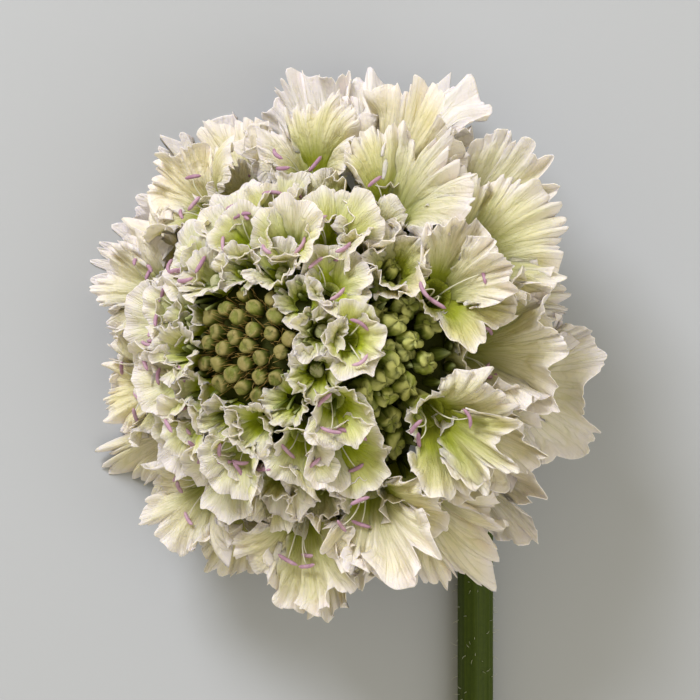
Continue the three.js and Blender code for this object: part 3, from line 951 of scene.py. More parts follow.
@dataclass
class LobeSheets:
    """One lobe of each floret in a row, as a sheet of rays that leave the throat's rim.

    rightward is how far right of the head's axis each floret stands, 1 at the head's rim. inside are the
    stations inside the throat, grow is v without them and phase holds random angles. length is each lobe's
    own and scale its share of the row's longest. heading and rays are the rays' angles and their lengths up
    to each station. beat runs through the teeth, and tooth is 1 in the middle of one and 0 in a notch.
    """

    row: Row
    lobe: Lobe
    places: Places
    rightward: np.ndarray
    ids: np.ndarray = field(init=False)
    u: np.ndarray = field(init=False)
    v: np.ndarray = field(init=False)
    grow: np.ndarray = field(init=False)
    phase: list[np.ndarray] = field(init=False)
    length: np.ndarray = field(init=False)
    scale: np.ndarray = field(init=False)
    heading: np.ndarray = field(init=False)
    rays: np.ndarray = field(init=False)
    beat: np.ndarray = field(init=False)
    tooth: np.ndarray = field(init=False)
    inside: tuple[float, ...] = (-0.12, -0.06)

    def __post_init__(self) -> None:
        """Lays out the grid, closer towards the edge, the rows inside the throat first, and the rays on it.

        The edge has rounded corners and a cleft or two, then teeth between notches of uneven width and depth.
        """
        lobe, row, (across, along) = self.lobe, self.row, self.lobe.cells
        self.ids = self.places.ids * 7 + lobe.series
        free = 0.99 * (1 - (1 - np.linspace(0, 1, along)) ** 1.35)
        self.u = np.concatenate([[-1], np.linspace(-0.99, 0.99, across - 1), [1]])[None, None, :]
        self.v = np.concatenate([self.inside, free, [1]])[None, :, None]
        self.grow = np.clip(self.v, 0, 1)
        self.phase = [each(2 * np.pi * draw(self.ids, salt)) for salt in (14, 45, 46, 47, 48, 49)]
        self.length = each(self.places.size * lobe.reach * (1 + jitter(self.ids, 13, 0.06)))
        self.scale = lobe.reach * each(self.places.size / max(row.sizes))
        self.heading = self.u * np.radians(lobe.fan) * (1 + self.vary(52, 0.22)) * (0.55 + 0.45 * self.grow)
        u, v = self.u, self.v
        warp = u + 0.07 * self.ripple(2.3, 2) + 0.025 * self.ripple(5.7, 3)
        edge = 1 - each(row.corner + 0.14 * draw(self.ids, 41)) * np.abs(u) ** 2.6 + self.vary(42, 0.05) * u
        edge = edge + 0.035 * self.ripple(2.6, 1) + 0.018 * self.ripple(6.3, 0)
        part = np.abs(np.sin(np.pi / 2 * lobe.parts * (warp + 1) + self.vary(57, 0.45))) ** 0.5
        edge = edge - each(row.split * (0.35 + 1.3 * draw(self.ids, 56) ** 2)) * (1 - part)
        self.beat = np.pi / 2 * (lobe.teeth + self.vary(43, 1.2)) * warp + self.phase[4]
        self.tooth = np.abs(np.sin(self.beat)) ** 0.7
        depth = row.notch * (0.95 + 0.4 * self.ripple(1.9, 5) + 0.35 * np.sin(4.3 * self.beat))
        notch = np.clip(depth, 0.2 * row.notch, None) * (1 - self.tooth) * smooth(0.5, 1.0, v)
        self.rays = self.length * (np.where(v < 0, v, v * edge) - notch)

    def vary(self, salt: float, amount: float) -> np.ndarray:
        """A number from -amount to amount for each lobe, shaped to meet the grid."""
        return each(jitter(self.ids, salt, amount))

    def ripple(self, half_waves: float, phase: int) -> np.ndarray:
        """A sine across the lobe, with so many half waves from its middle to its side."""
        return np.sin(half_waves * np.pi * self.u + self.phase[phase])

    def spine(self) -> tuple[np.ndarray, np.ndarray, np.ndarray]:
        """The curve that the rays follow, whose angle off the floret's look grows evenly and then rolls over.

        Returns:
            The angle, and how far out and how far up each point lies, the sums of the steps before it.
        """
        forward = self.rays * np.cos(self.heading)
        lean = np.radians(self.lobe.lean + self.vary(15, 6))
        curl = np.radians(self.row.curl * self.lobe.curl + self.vary(12, 10))
        roll = np.radians(self.vary(44, self.row.roll)) * (0.4 + 0.6 * self.lobe.reach)
        roll = roll * (1 + 0.5 * self.ripple(1.7, 2)) * smooth(0.5, 1.05, self.v) ** 1.3
        angle = lean + curl * forward / self.length + roll
        step, middle = np.diff(forward, axis=1), (angle[:, 1:] + angle[:, :-1]) / 2

        def summed(steps: np.ndarray) -> np.ndarray:
            """The running sum of the steps, 0 at the rim."""
            total, rim = np.pad(np.cumsum(steps, 1), ((0, 0), (1, 0), (0, 0))), len(self.inside)
            return total - total[:, rim : rim + 1]

        return angle, summed(np.sin(middle) * step), summed(np.cos(middle) * step)

    def lift(self) -> np.ndarray:
        """How far the folds lift the sheet off its spine.

        Returns:
            The sum of a broad wave, ruffles, frilled sides, pleats between the notches, a cup, the way that
            one lobe lies over the next and low crumples, the finer ones growing faster towards the edge.
        """
        row, u, grow = self.row, self.u, self.grow
        wave = row.wave * self.lobe.reach * grow**1.5 * self.ripple(1.5, 0)
        fold = each(2.8 + 1.4 * draw(self.ids, 53)) * np.pi * u + self.phase[3]
        ruffle = 0.6 * np.sin(fold) + 0.5 * np.sin(2.3 * fold + self.phase[2])
        ruffle = row.ruffle * self.scale * grow**3.5 * ruffle
        frill = np.abs(u) ** 3 * np.sin(6.3 * np.pi * grow + self.phase[1] * np.sign(u))
        frill = 0.75 * row.ruffle * self.scale * grow * frill
        begins = 0.66 + 0.14 * np.sin(0.7 * self.beat + self.phase[5])
        pleat = row.pleat * (0.3 + 0.7 * self.lobe.reach) * (0.75 + 0.45 * self.ripple(1.3, 1))
        pleat = pleat * (self.tooth - 0.6) * np.clip((grow - begins) / (1 - begins), 0, 1) ** 1.2
        cup = self.vary(54, 0.26) * self.length * (u * u - 0.3) * grow
        crumple = np.sin(4.3 * np.pi * u + 6 * grow + self.phase[2])
        crumple = crumple + np.sin(9 * grow - 2.9 * np.pi * u + self.phase[5])
        crumple = 0.16 * self.scale * grow * crumple
        return wave + ruffle + frill + pleat + cup + row.overlap * u + crumple

    def aside(self) -> np.ndarray:
        """How far to its side each point lies.

        Returns:
            The ray's own way to its side and a sway, both less where the lobe's sides are nicked.
        """
        sway = 0.25 * self.scale * self.grow**3 * np.cos(2.4 * np.pi * self.u + self.phase[4])
        nick = np.abs(np.cos(0.9 * self.lobe.teeth * self.grow + self.phase[0]))
        nick = nick * smooth(0.75, 1.0, np.abs(self.u)) * smooth(0.3, 0.6, self.grow)
        return (self.rays * np.sin(self.heading) + sway) * (1 - 2.6 * self.row.notch * nick)

    def points(self) -> np.ndarray:
        """The sheets' points.

        Returns:
            The throat's rim, plus the spine with the lift square to it, plus the way aside.
        """
        places, (angle, out, up), lift = self.places, self.spine(), self.lift()
        turn = np.radians(self.lobe.turn + jitter(self.ids, 11, 6))
        spoke = swing(turn, places.outward, places.side)
        rim = each(turn) + self.u * np.radians(self.lobe.arc)
        rim = swing(rim, places.outward[:, None, None], places.side[:, None, None])
        sheet = lay(
            places.throat,
            (spoke, out - lift * np.cos(angle)),
            (places.look, up + lift * np.sin(angle)),
            (np.cross(places.look, spoke), self.aside()),
        )
        return pressed(sheet + self.row.rim * rim)

    def tone(self) -> np.ndarray:
        """The sheets' tones.

        Returns:
            Green from the throat, reaching further along on the head's right as painted shade, and the margin.
        """
        u, v = self.u, self.v
        margin = smooth(0.74, 1.0, np.maximum(v, np.abs(u) * smooth(0.1, 0.5, v))) ** 1.5
        # painted shade: the darker green reaches further along on the head's right
        reach = self.row.green * (1 + self.vary(55, 0.3) + 0.22 * each(self.rightward))
        far = v / reach - 0.12 * (u * u)
        green = 0.92 * (1 - smooth(-0.1, 0.8, far)) + 0.2 * (1 - smooth(0.6, 1.2, far))
        return together(green, each(draw(self.ids, 51)), margin)

    def add_to(self, skin: Skin) -> None:
        """Adds the sheets to a skin as shells that thin towards the edge."""
        thickness = self.row.thickness * (1.25 - 0.75 * self.grow)
        skin.add_shells(self.points(), thickness, self.tone(), together((self.u + 1) / 2, self.grow))


@dataclass
class Stamens:
    """The stamens of all the florets, gathered row by row into two pieces."""

    filaments: Skin = field(default_factory=Skin)
    anthers: Skin = field(default_factory=Skin)

    def add(self, row: Row, places: Places) -> None:
        """Thin filaments that bow out of each throat, each with a bent anther across its end.

        An anther is a capsule along a shallow arc, with a groove down its face.

        Args:
            row: how many stamens a floret has, and how long they are.
            places: where the florets stand.
        """
        count = row.stamens
        if not count:
            return
        ids = (places.ids[:, None] * 11 + np.arange(count)).ravel()
        throat, look, outward, side = (
            np.repeat(vectors, count, axis=0)
            for vectors in (places.throat, places.look, places.outward, places.side)
        )
        spoke = swing(2 * np.pi * draw(ids, 61), outward, side)
        reach = (row.filament * (1 + jitter(ids, 62, 0.3)))[:, None]
        foot = throat - look * 1.2 + spoke * row.rim * 0.4
        knee = foot + look * (reach * 0.75 + 1.2)
        tip = foot + look * (reach * 0.95 + 1.0) + spoke * reach * (0.35 + 0.3 * draw(ids, 63)[:, None])
        t = np.linspace(0, 1, 9)
        centres, along = bezier([foot, knee, tip], t)
        centres = pressed(centres + UP * 0.1)
        radii = np.broadcast_to((0.085 - 0.03 * t)[:, None], (len(ids), len(t), 6))
        tone = together(0.0, each(draw(ids, 64)), 0.0)
        self.filaments.add_rings(sweep(centres, along, radii, np.cross(look, spoke)[:, None]), tone)

        tip, way = centres[:, -1:], along[:, -1:]
        lie = unit(np.cross(along[:, -1], unit(look + 0.3 * spoke)) + spoke * jitter(ids, 65, 1.2)[:, None])
        lie = square_to(lie, along[:, -1])[:, None]
        x = np.linspace(-1, 1, 9)
        half, bow = each(0.95 + 0.25 * draw(ids, 66)), each(0.08 + 0.3 * draw(ids, 67) ** 2)
        path = tip + lie * x[:, None] * half - way * (x * x)[:, None] * bow
        path = pressed(path + way * 0.12 + UP * 0.15)
        turn = turns(8)
        body = 0.19 * (1 - np.abs(x) ** 4) ** 0.5 + 0.02
        radii = body[:, None] * (1 - 0.22 * bell(turn - np.pi, 0.5))
        radii = np.broadcast_to(radii, (len(ids), len(x), len(turn)))
        self.anthers.add_rings(sweep(path, unit(np.gradient(path, axis=1)), radii, -way), tone)

    def build(self) -> None:
        """Makes the filaments and the anthers."""
        self.filaments.make("filaments", FILAMENT, "petal")
        self.anthers.make("anthers", ANTHER, "petal")


@dataclass
class FloretRow:
    """The florets of one row: tubes, lobes and stamens."""

    row: Row
    head: Head
    tissue: Finish
    node: str
    slot: str

    def places(self) -> Places:
        """Spreads the florets evenly round the head, a little out of step, each looking out and up.

        Returns:
            Where they stand.
        """
        row, k = self.row, np.arange(len(self.row.sizes))
        ids = row.series * 100 + k
        alpha = np.radians(row.start + row.span / len(k) * (k + jitter(ids, 1, 0.12)))
        polar = np.radians(row.face + row.sway * np.cos(alpha) + jitter(ids, 2, row.stray))
        look = self.head.direction(polar, alpha + np.radians(jitter(ids, 3, row.stray)))
        outward = square_to(self.head.direction(np.pi / 2 + polar, alpha), look)
        rho, h = row.throat
        throat = self.head.point(rho + jitter(ids, 4, 0.4), alpha, h + jitter(ids, 5, 0.4))
        root = self.head.point(row.root[0], alpha, row.root[1])
        return Places(ids, throat, root, look, outward, np.cross(look, outward), np.array(row.sizes, float))

    def add_tubes(self, skin: Skin, places: Places) -> None:
        """The corollas' tubes: bent funnels that widen to the throat and go back down inside as a mouth.

        Args:
            skin: takes the tubes.
            places: where the florets stand.
        """
        rim, sides, wall_thickness = self.row.rim, 16, 0.16
        reach = np.linalg.norm(places.throat - places.root, axis=-1, keepdims=True)
        bend = places.throat - places.look * reach * 0.45
        outside, inside = np.linspace(0, 1, 9), np.linspace(1, 0.45, 6)
        t = np.concatenate([outside, inside])
        centres, along = bezier([places.root, bend, places.throat], t)
        wide = 0.45 + 0.27 * np.minimum(t, 0.55) + 0.4 * np.clip((t - 0.55) / 0.45, 0, 1) ** 1.5
        wall = np.concatenate([np.zeros_like(outside), np.full(len(inside), wall_thickness)])
        wall[-1] = 0.55 * rim
        radii = (rim * wide - wall)[:, None] * (1 + 0.05 * np.cos(5 * turns(sides)))
        radii = np.broadcast_to(radii, (len(places.ids), len(t), sides))
        rings = sweep(centres, along, radii, places.outward[:, None])
        deep = np.concatenate([0.35 + 0.4 * outside, np.full(len(inside), 0.9)])
        skin.add_rings(pressed(rings), together(deep[:, None], each(draw(places.ids, 51)), 0.0))

    def build(self, tubes: Skin, stamens: Stamens) -> None:
        """Makes the row's lobes as one piece and adds its tubes and stamens to theirs.

        Args:
            tubes: takes the tubes.
            stamens: takes the stamens.
        """
        places, skin = self.places(), Skin()
        # how far right each floret stands, which sets the painted shade of longer green on the head's right
        rightward = (places.throat - self.head.centre)[:, 0] / HEAD_RADIUS
        for lobe in self.row.lobes:
            LobeSheets(self.row, lobe, places, rightward).add_to(skin)
        self.add_tubes(tubes, places)
        stamens.add(self.row, places)
        skin.make(self.row.name, self.tissue, self.slot, self.node)


# ---------------------------------------------------------------- buds and bristles


@dataclass(frozen=True)
class Fold:
    """How a bud is folded: its grid, the depths of what cuts and swells it, and how dark the painted shade in
    its creases is.

    lobes are the two numbers of lobes that a bud may have, swirl is how far its creases wind round it at most
    in radians, sharp how broad they are, uneven how much its lobes differ in width, flap how far the last
    flaps stand off its top and dent how far its top is sunk where the creases meet. The smaller blunt is, the
    nearer a bud is to a drum.
    """

    grid: tuple[int, int]
    lobes: tuple[int, int]
    swirl: float
    sharp: float
    cut: float
    uneven: float
    bulge: float
    crumple: float
    flap: float
    dent: float
    # how dark the painted shade in the creases is
    shadow: float
    blunt: float


class BudKind(Enum):
    """The two kinds of bud: closed ones near the middle, and crumpled half-grown ones in the band."""

    CLOSED = Fold(
        grid=(17, 28), lobes=(4, 5), swirl=0.5, sharp=0.3, cut=0.02, uneven=0.1, bulge=0.05, crumple=0.01,
        flap=1.2, dent=0.02, shadow=0.12, blunt=0.5,
    )
    FOLDED = Fold(
        grid=(17, 34), lobes=(3, 4), swirl=2.4, sharp=0.6, cut=0.38, uneven=0.55, bulge=0.16, crumple=0.05,
        flap=1.8, dent=0.3, shadow=0.9, blunt=0.7,
    )


@dataclass
class Buds:
    """A group of buds: where they stand, how they are folded, their radius and their length over it."""

    name: str
    kind: BudKind
    centres: np.ndarray
    looks: np.ndarray
    radius: float
    length: float
    skin: Finish
    node: str
    slot: str

    def rings(self) -> tuple[np.ndarray, np.ndarray]:
        """The buds' points, each a ball along its look that is cut by creases between its folded lobes.

        fall runs from the foot to the tip as an angle, and rise from 0 to 1. Two flaps close over the tip.

        Returns:
            The rings of points and their tones: painted shade, a random number and how near the tip's colour.
        """
        fold, ids = self.kind.value, np.arange(len(self.centres)) + 1000 * len(self.name)
        stations, sides = fold.grid
        fall = np.linspace(0.04, 0.995, stations)[None, :, None] * np.pi
        level, rise = np.cos(fall), fall / np.pi
        turn = turns(sides)[None, None, :]
        lobes = each(np.where(draw(ids, 71) > 0.4, fold.lobes[1], fold.lobes[0]))
        phase = each(2 * np.pi * draw(ids, 73))
        upper, crown = smooth(0.25, 0.75, rise), smooth(0.45, 0.7, rise)
        beat = lobes / 2 * turn + each(jitter(ids, 72, fold.swirl)) * level + phase
        near = np.abs(np.sin(beat + fold.uneven * np.sin(turn + 2 * phase + level)))
        crease = 1 - near**fold.sharp
        swell = 1 + fold.bulge * np.sin(2 * turn + 2 * phase + 1.5 * level)
        crumple = np.sin(5 * turn + 4 * level - phase) + np.sin(9 * fall + 2 * turn + phase)
        swell = swell + fold.crumple * crumple

        def flap_over(way: np.ndarray, bend: float, off: np.ndarray) -> np.ndarray:
            """1 on a flap whose bent edge lies off from the middle, looking that way, and 0 beside it."""
            forth, aside = np.sin(fall) * np.cos(turn - way), np.sin(fall) * np.sin(turn - way)
            return smooth(0.0, 0.12, forth + bend * aside**2 - off)

        flaps = [
            flap_over(phase, 0.35, each(jitter(ids, 76, 0.35))),
            flap_over(phase + 2.2, -0.3, each(0.2 + jitter(ids, 77, 0.3))),
        ]
        seam = sum(4 * flap * (1 - flap) for flap in flaps) * crown
        flap = fold.flap * sum(flaps) * crown
        cut = 1 - fold.cut * crease * (0.25 + upper)
        width = np.sin(fall) ** fold.blunt * cut * swell * (1 + 0.06 * flap)
        height = -np.sign(level) * np.abs(level) ** (1 - 0.4 * crown) * self.length + 0.14 * flap
        height = height - fold.dent * crease * smooth(0.7, 1.0, rise)
        size = each(self.radius * (1 + jitter(ids, 74, 0.12)))
        side = square_to(np.broadcast_to([0.3, 0.2, 1.0], self.looks.shape), self.looks)
        spokes = swing(turn, side[:, None, None], np.cross(self.looks, side)[:, None, None])
        rings = lay(self.centres, (self.looks, height * size)) + spokes * (width * size)[..., None]
        tip = smooth(0.5, 0.8, rise) * (0.3 + 0.45 * flap + 0.5 * fold.shadow * bell(near - 0.5, 0.16))
        # painted shade: darker in the creases, towards the foot and along the seams where the flaps meet
        dark = crease * fold.shadow + 1.1 * (1 - upper) + 0.6 * seam
        return rings, np.clip(together(dark, each(draw(ids, 75)), tip), 0, 1)

    def build(self) -> None:
        """Makes the buds as one piece."""
        skin = Skin()
        skin.add_rings(*self.rings())
        skin.make(self.name, self.skin, self.slot, self.node)


@dataclass
class CapBuds:
    """The closed buds at the middle of the head, on a dome, with short bristles between them.

    The dome's top is at height top, and it falls by drop times rho squared up to rho = spread. A bud leans by
    tilt degrees for each millimetre of rho, and bristles is how many stand round each one.
    """

    head: Head
    count: int = 26
    spread: float = 5.3
    top: float = 15.6
    drop: float = 0.045
    tilt: float = 4.5
    radius: float = 0.77
    length: float = 1.25
    bristles: int = 11
    bristle_radii: tuple[float, float] = (0.062, 0.012)

    def spots(self) -> tuple[np.ndarray, np.ndarray]:
        """Sets the buds on a spiral of golden angles, rho growing with the root of a bud's number.

        Returns:
            Their centres and looks.
        """
        k = np.arange(self.count)
        rho = self.spread * np.sqrt((k + 0.4) / self.count) + jitter(k, 86, 0.2)
        alpha = k * GOLDEN + jitter(k, 87, 0.3) / (rho + 0.8)
        centres = self.head.point(rho, alpha, self.top - self.drop * rho * rho)
        return centres, self.head.direction(np.radians(self.tilt * rho), alpha)

    def add_bristles(self, skin: Skin) -> None:
        """Fine tapered bristles in a ring round each bud, which stand up beside it and lean out a little.

        Args:
            skin: takes the bristles.
        """
        ids = np.arange(self.count * self.bristles)
        centres, looks = (np.repeat(found, self.bristles, 0) for found in self.spots())
        side = square_to(np.broadcast_to([1.0, 0.3, 0.2], looks.shape), looks)
        around = 2 * np.pi * (ids % self.bristles + jitter(ids, 81, 0.4)) / self.bristles
        spoke = swing(around, side, np.cross(looks, side))
        foot = centres + spoke * self.radius * 0.9 - looks * 0.9
        knee = foot + looks * 0.9 + spoke * 0.2
        reach = (1.75 + jitter(ids, 82, 0.5))[:, None]
        lean = jitter(ids, 83, 0.7)[:, None]
        tip = foot + looks * reach + spoke * (0.1 + 0.4 * draw(ids, 84)[:, None])
        tip = tip + np.cross(looks, spoke) * lean
        tone = together(0.0, each(draw(ids, 85)), 0.0)
        skin.add_strands([foot, knee, tip], self.bristle_radii, (5, 4), spoke, tone)

    def build(self) -> None:
        """Makes the buds and their bristles."""
        Buds(
            "cap_buds", BudKind.CLOSED, *self.spots(), self.radius,
            self.length, skin=CAP_SKIN, node="central_buds", slot="bud",
        ).build()
        bristles = Skin()
        self.add_bristles(bristles)
        bristles.make("cap_bristles", BRISTLE, "bud")


@dataclass
class YoungCups:
    """The half-open corollas round the closed buds, some with a bud still folded inside.

    empty is the share of cups without a bud, and raised how far a bud's middle stands above the throat.
    """

    head: Head
    empty: float = 0.5
    raised: float = 0.2
    radius: float = 0.72
    length: float = 1.7

    def build(self, tubes: Skin, stamens: Stamens) -> None:
        """Makes the cups as one piece and the buds inside them as another, and adds the tubes to theirs.

        Args:
            tubes: takes the tubes.
            stamens: goes on to the row, whose stamens aren't out yet.
        """
        row = FloretRow(CUP_ROW, self.head, INNER_TISSUE, "inner_florets", "throat")
        row.build(tubes, stamens)
        places = row.places()
        full = draw(places.ids, 114) > self.empty
        looks = places.look[full]
        Buds(
            "cup_buds", BudKind.CLOSED, places.throat[full] + looks * self.raised, looks, self.radius,
            self.length, skin=CUP_BUD_SKIN, node="inner_florets", slot="late_bud",
        ).build()


@dataclass
class LateBuds:
    """The band of half-grown green buds between the outer and the inner florets, in rows at (rho, h)."""

    head: Head
    rows: Profile = (
        (10.6, 7.6), (12.0, 7.7), (13.1, 6.5), (14.1, 5.2), (11.6, 5.6), (10.0, 9.4),
    )
    per_row: int = 12
    span: float = 200
    polar: float = 58
    radius: float = 1.16
    length: float = 1.15

    def build(self) -> None:
        """Sets the buds in rows round the head's right, each row half a step on from the one below."""
        centres, looks = [], []
        for r, (rho, h) in enumerate(self.rows):
            k = np.arange(self.per_row)
            ids = k + 50 * r
            alpha = np.radians(self.span * ((k + r / 2 % 1 + jitter(ids, 31, 0.15)) / self.per_row - 0.5))
            centres.append(self.head.point(rho + jitter(ids, 32, 0.3), alpha, h))
            looks.append(self.head.direction(np.radians(self.polar), alpha))
        Buds(
            "band_buds", BudKind.FOLDED, np.concatenate(centres), np.concatenate(looks), self.radius,
            self.length, skin=LATE_SKIN, node="late_buds", slot="late_bud",
        ).build()


# ---------------------------------------------------------------- stem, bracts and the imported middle


@dataclass
class Stem:
    """The ribbed hairy stem: straight along the surface, then up to the back of the head.

    pull is how far the two handles of its bend reach. cut_end goes from the cut's middle out, over pith, wall
    and bevel, as shares of the radius and depths. Hairs stand up to hairy degrees round from the top.
    """

    head: Head
    radius: float = STEM_RADIUS
    flare: float = 0.4
    ribs: int = 9
    rib_depth: float = 0.035
    sides: int = 54
    straight: int = 60
    bends: int = 40
    pull: tuple[float, float] = (15.0, 6.0)
    cut_end: Profile = ((0.05, 0.7), (0.3, 0.65), (0.42, 0.4), (0.5, 0.1), (0.9, 0.0), (0.97, 0.03))
    hairs: int = 520
    hairy: float = 125.0
    hair_radii: tuple[float, float] = (0.043, 0.008)
    bare_neck: float = 3.0

    def path(self) -> tuple[np.ndarray, np.ndarray, np.ndarray]:
        """The stem's middle line, with so many stations on its straight run and on its bend.

        Returns:
            The points, the directions, and how far each is from the neck, in units of a tenth of the bend.
        """
        landing = self.head.centre * FLAT + [STEM_OFFSET, STEM_LANDING, self.radius]
        neck = self.head.point(0, 0, BACK_LEVEL - GAP)
        back = self.head.direction(np.pi, 0.0) * self.pull[1]
        left = 1 - np.linspace(0, 1, self.straight, endpoint=False)
        run = landing - np.array([0, STEM_LENGTH, 0]) * left[:, None]
        t = np.linspace(0, 1, self.bends)
        bend, along = bezier([landing, landing + [0, self.pull[0], 0], neck + back, neck], t)
        away = np.concatenate([np.full(self.straight, 10.0), 10 * (1 - t)])
        forward = np.broadcast_to([0.0, 1.0, 0.0], run.shape)
        return np.concatenate([run, bend]), np.concatenate([forward, along]), away

    def add_tube(self, skin: Skin) -> None:
        """The stem's skin: rings with low ribs, closed at the cut end by a bevel and a sunk pith.

        Args:
            skin: takes the tube.
        """
        points, along, away = self.path()
        rib = 1 - self.rib_depth * (0.5 - 0.5 * np.cos(self.ribs * turns(self.sides))) ** 2
        radii = (self.radius * (1 + self.flare * np.exp(-away)))[:, None] * rib
        shares, sunk = np.array(self.cut_end).T[..., None]
        ends = points[:1] + np.array([0, 1.0, 0]) * sunk
        cut = sweep(ends, np.repeat(along[:1], len(shares), 0), radii[:1] * shares, UP)
        rings = np.concatenate([cut, sweep(points, along, radii, UP)])[None]
        rings[..., 2] = np.maximum(rings[..., 2], 0.0)
        tone = np.zeros(rings.shape)
        tone[0, : len(shares), :, 2] = 0.9
        skin.add_rings(rings, tone)

    def add_hairs(self, skin: Skin) -> None:
        """Fine pale hairs that stand off the stem all round, except where it meets the surface.

        Args:
            skin: takes the hairs.
        """
        ids = np.arange(self.hairs)
        points, along, _ = self.path()
        spread = np.concatenate([[0], np.cumsum(np.linalg.norm(np.diff(points, axis=0), axis=1))])
        where = draw(ids, 91) * (spread[-1] - self.bare_neck)
        centre, forward = (
            np.stack([np.interp(where, spread, found[:, axis]) for axis in range(3)], -1)
            for found in (points, along)
        )
        forward = unit(forward)
        up = square_to(np.broadcast_to(UP, centre.shape), forward)
        around = (2 * draw(ids, 92) - 1) * np.radians(self.hairy)
        spoke = swing(around, up, np.cross(forward, up))
        reach = (0.55 + jitter(ids, 93, 0.3))[:, None]
        foot = centre + spoke * self.radius * 0.96
        knee = foot + spoke * reach * 0.6
        tip = foot + spoke * reach + forward * jitter(ids, 94, 0.4)[:, None]
        tone = together(0.0, each(draw(ids, 95)), 0.0)
        skin.add_strands([foot, knee, tip], self.hair_radii, (4, 3), forward, tone)

    def build(self) -> None:
        """Makes the stem and its hairs."""
        tube, hairs = Skin(), Skin()
        self.add_tube(tube)
        self.add_hairs(hairs)
        tube.make("stem_tube", STEM_SKIN, "stem", "stem")
        hairs.make("stem_hairs", HAIR, "stem")


def add_turned(skin: Skin, head: Head, profile: Profile, sides: int, lump: float, deep: float) -> None:
    """A body turned about the head's axis, with low lumps round it.

    Args:
        skin: takes the body.
        head: the head's frame.
        profile: (rho, h) points from the bottom to the top, near the axis at both ends.
        sides: points round each ring.
        lump: the lumps' height over the radius.
        deep: how far painted shade darkens it, as the first number of its tone.
    """
    rho, h = np.array(profile).T[..., None]
    bumps = 1 + lump * np.sin(sides / 4 * turns(sides)) * np.sin(2.3 * h)
    skin.add_rings(head.point(rho * bumps, turns(sides), h)[None], np.array([deep, 0.5, 0.0]))


@dataclass
class Involucre:
    """The disc behind the head and its ring of narrow leafy bracts."""

    head: Head
    count: int = 10
    length: float = 9.5
    width: float = 2.4
    root: float = 3.2
    droop: float = 22
    sag: float = 0.9
    crease: float = 0.25
    disc: Profile = (
        (0.1, -4.2), (2.4, -4.2), (3.4, -3.9), (4.3, -3.1), (4.6, -2.7), (4.2, -2.6), (0.1, -2.6),
    )

    def add_bracts(self, skin: Skin) -> None:
        """Pointed leaves, widest a third of the way out, that sag along their length and fold at the midrib.

        Args:
            skin: takes the bracts.
        """
        k = np.arange(self.count)
        alpha = np.radians(360 / self.count * (k + jitter(k, 21, 0.15)))
        out = self.head.direction(np.radians(90 + self.droop + jitter(k, 22, 4)), alpha)
        side = self.head.direction(np.pi / 2, alpha + np.pi / 2)
        root = self.head.point(self.root, alpha, BRACT_LEVEL - GAP - BLADE)
        length = each(self.length * (1 + jitter(k, 23, 0.12)))
        u, v = np.linspace(-1, 1, 13)[None, None, :], np.linspace(0, 1, 19)[None, :, None]
        half = self.width / 2 * np.sin(np.pi * (0.3 + 0.69 * v)) * (1 + 0.05 * np.sin(9 * v * np.pi))
        sag = self.sag * v * v + self.crease * u * u + 0.12 * bell(u, 0.16)
        sag = sag + 0.12 * np.sin(7 * v + each(k)) * u
        sheet = lay(root, (out, v * length), (side, u * half), (np.cross(side, out), sag))
        thickness = 0.32 * (1 - 0.5 * np.abs(u)) * (1 - 0.6 * v) + 0.1
        tone = together(0.0, each(draw(k, 24)), 0.25 * bell(u, 0.12))
        skin.add_shells(pressed(sheet), thickness, tone, together((u + 1) / 2, v))

    def build(self) -> None:
        """Makes the bracts and the disc that they grow from."""
        skin = Skin()
        self.add_bracts(skin)
        # painted shade: deep=0.2 darkens the disc a little behind the head
        add_turned(skin, self.head, self.disc, 40, lump=0.03, deep=0.2)
        skin.make("bracts", BRACT_SKIN, "bract", "involucre")


@dataclass
class Receptacle:
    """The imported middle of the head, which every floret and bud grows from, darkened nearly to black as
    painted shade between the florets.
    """

    head: Head
    profile: Profile = (
        (0.1, -2.3), (5.5, -2.3), (8.5, -1.6), (12.4, 0.6), (14.8, 1.8), (14.6, 3.0), (12.4, 4.6), (9.9, 5.6),
        (9.4, 8.2), (8.6, 10.0), (7.4, 11.9), (5.9, 13.2), (4.6, 13.9), (2.5, 14.5), (0.1, 14.7),
    )

    def build(self) -> None:
        """Turns its profile, a little slimmer at each level of the head than what stands there."""
        skin = Skin()
        # painted shade: deep=0.85 darkens the middle nearly to black where it shows between the florets
        add_turned(skin, self.head, self.profile, 160, lump=0.02, deep=0.85)
        skin.make("receptacle", CORE_SHADE_SKIN, "bract")


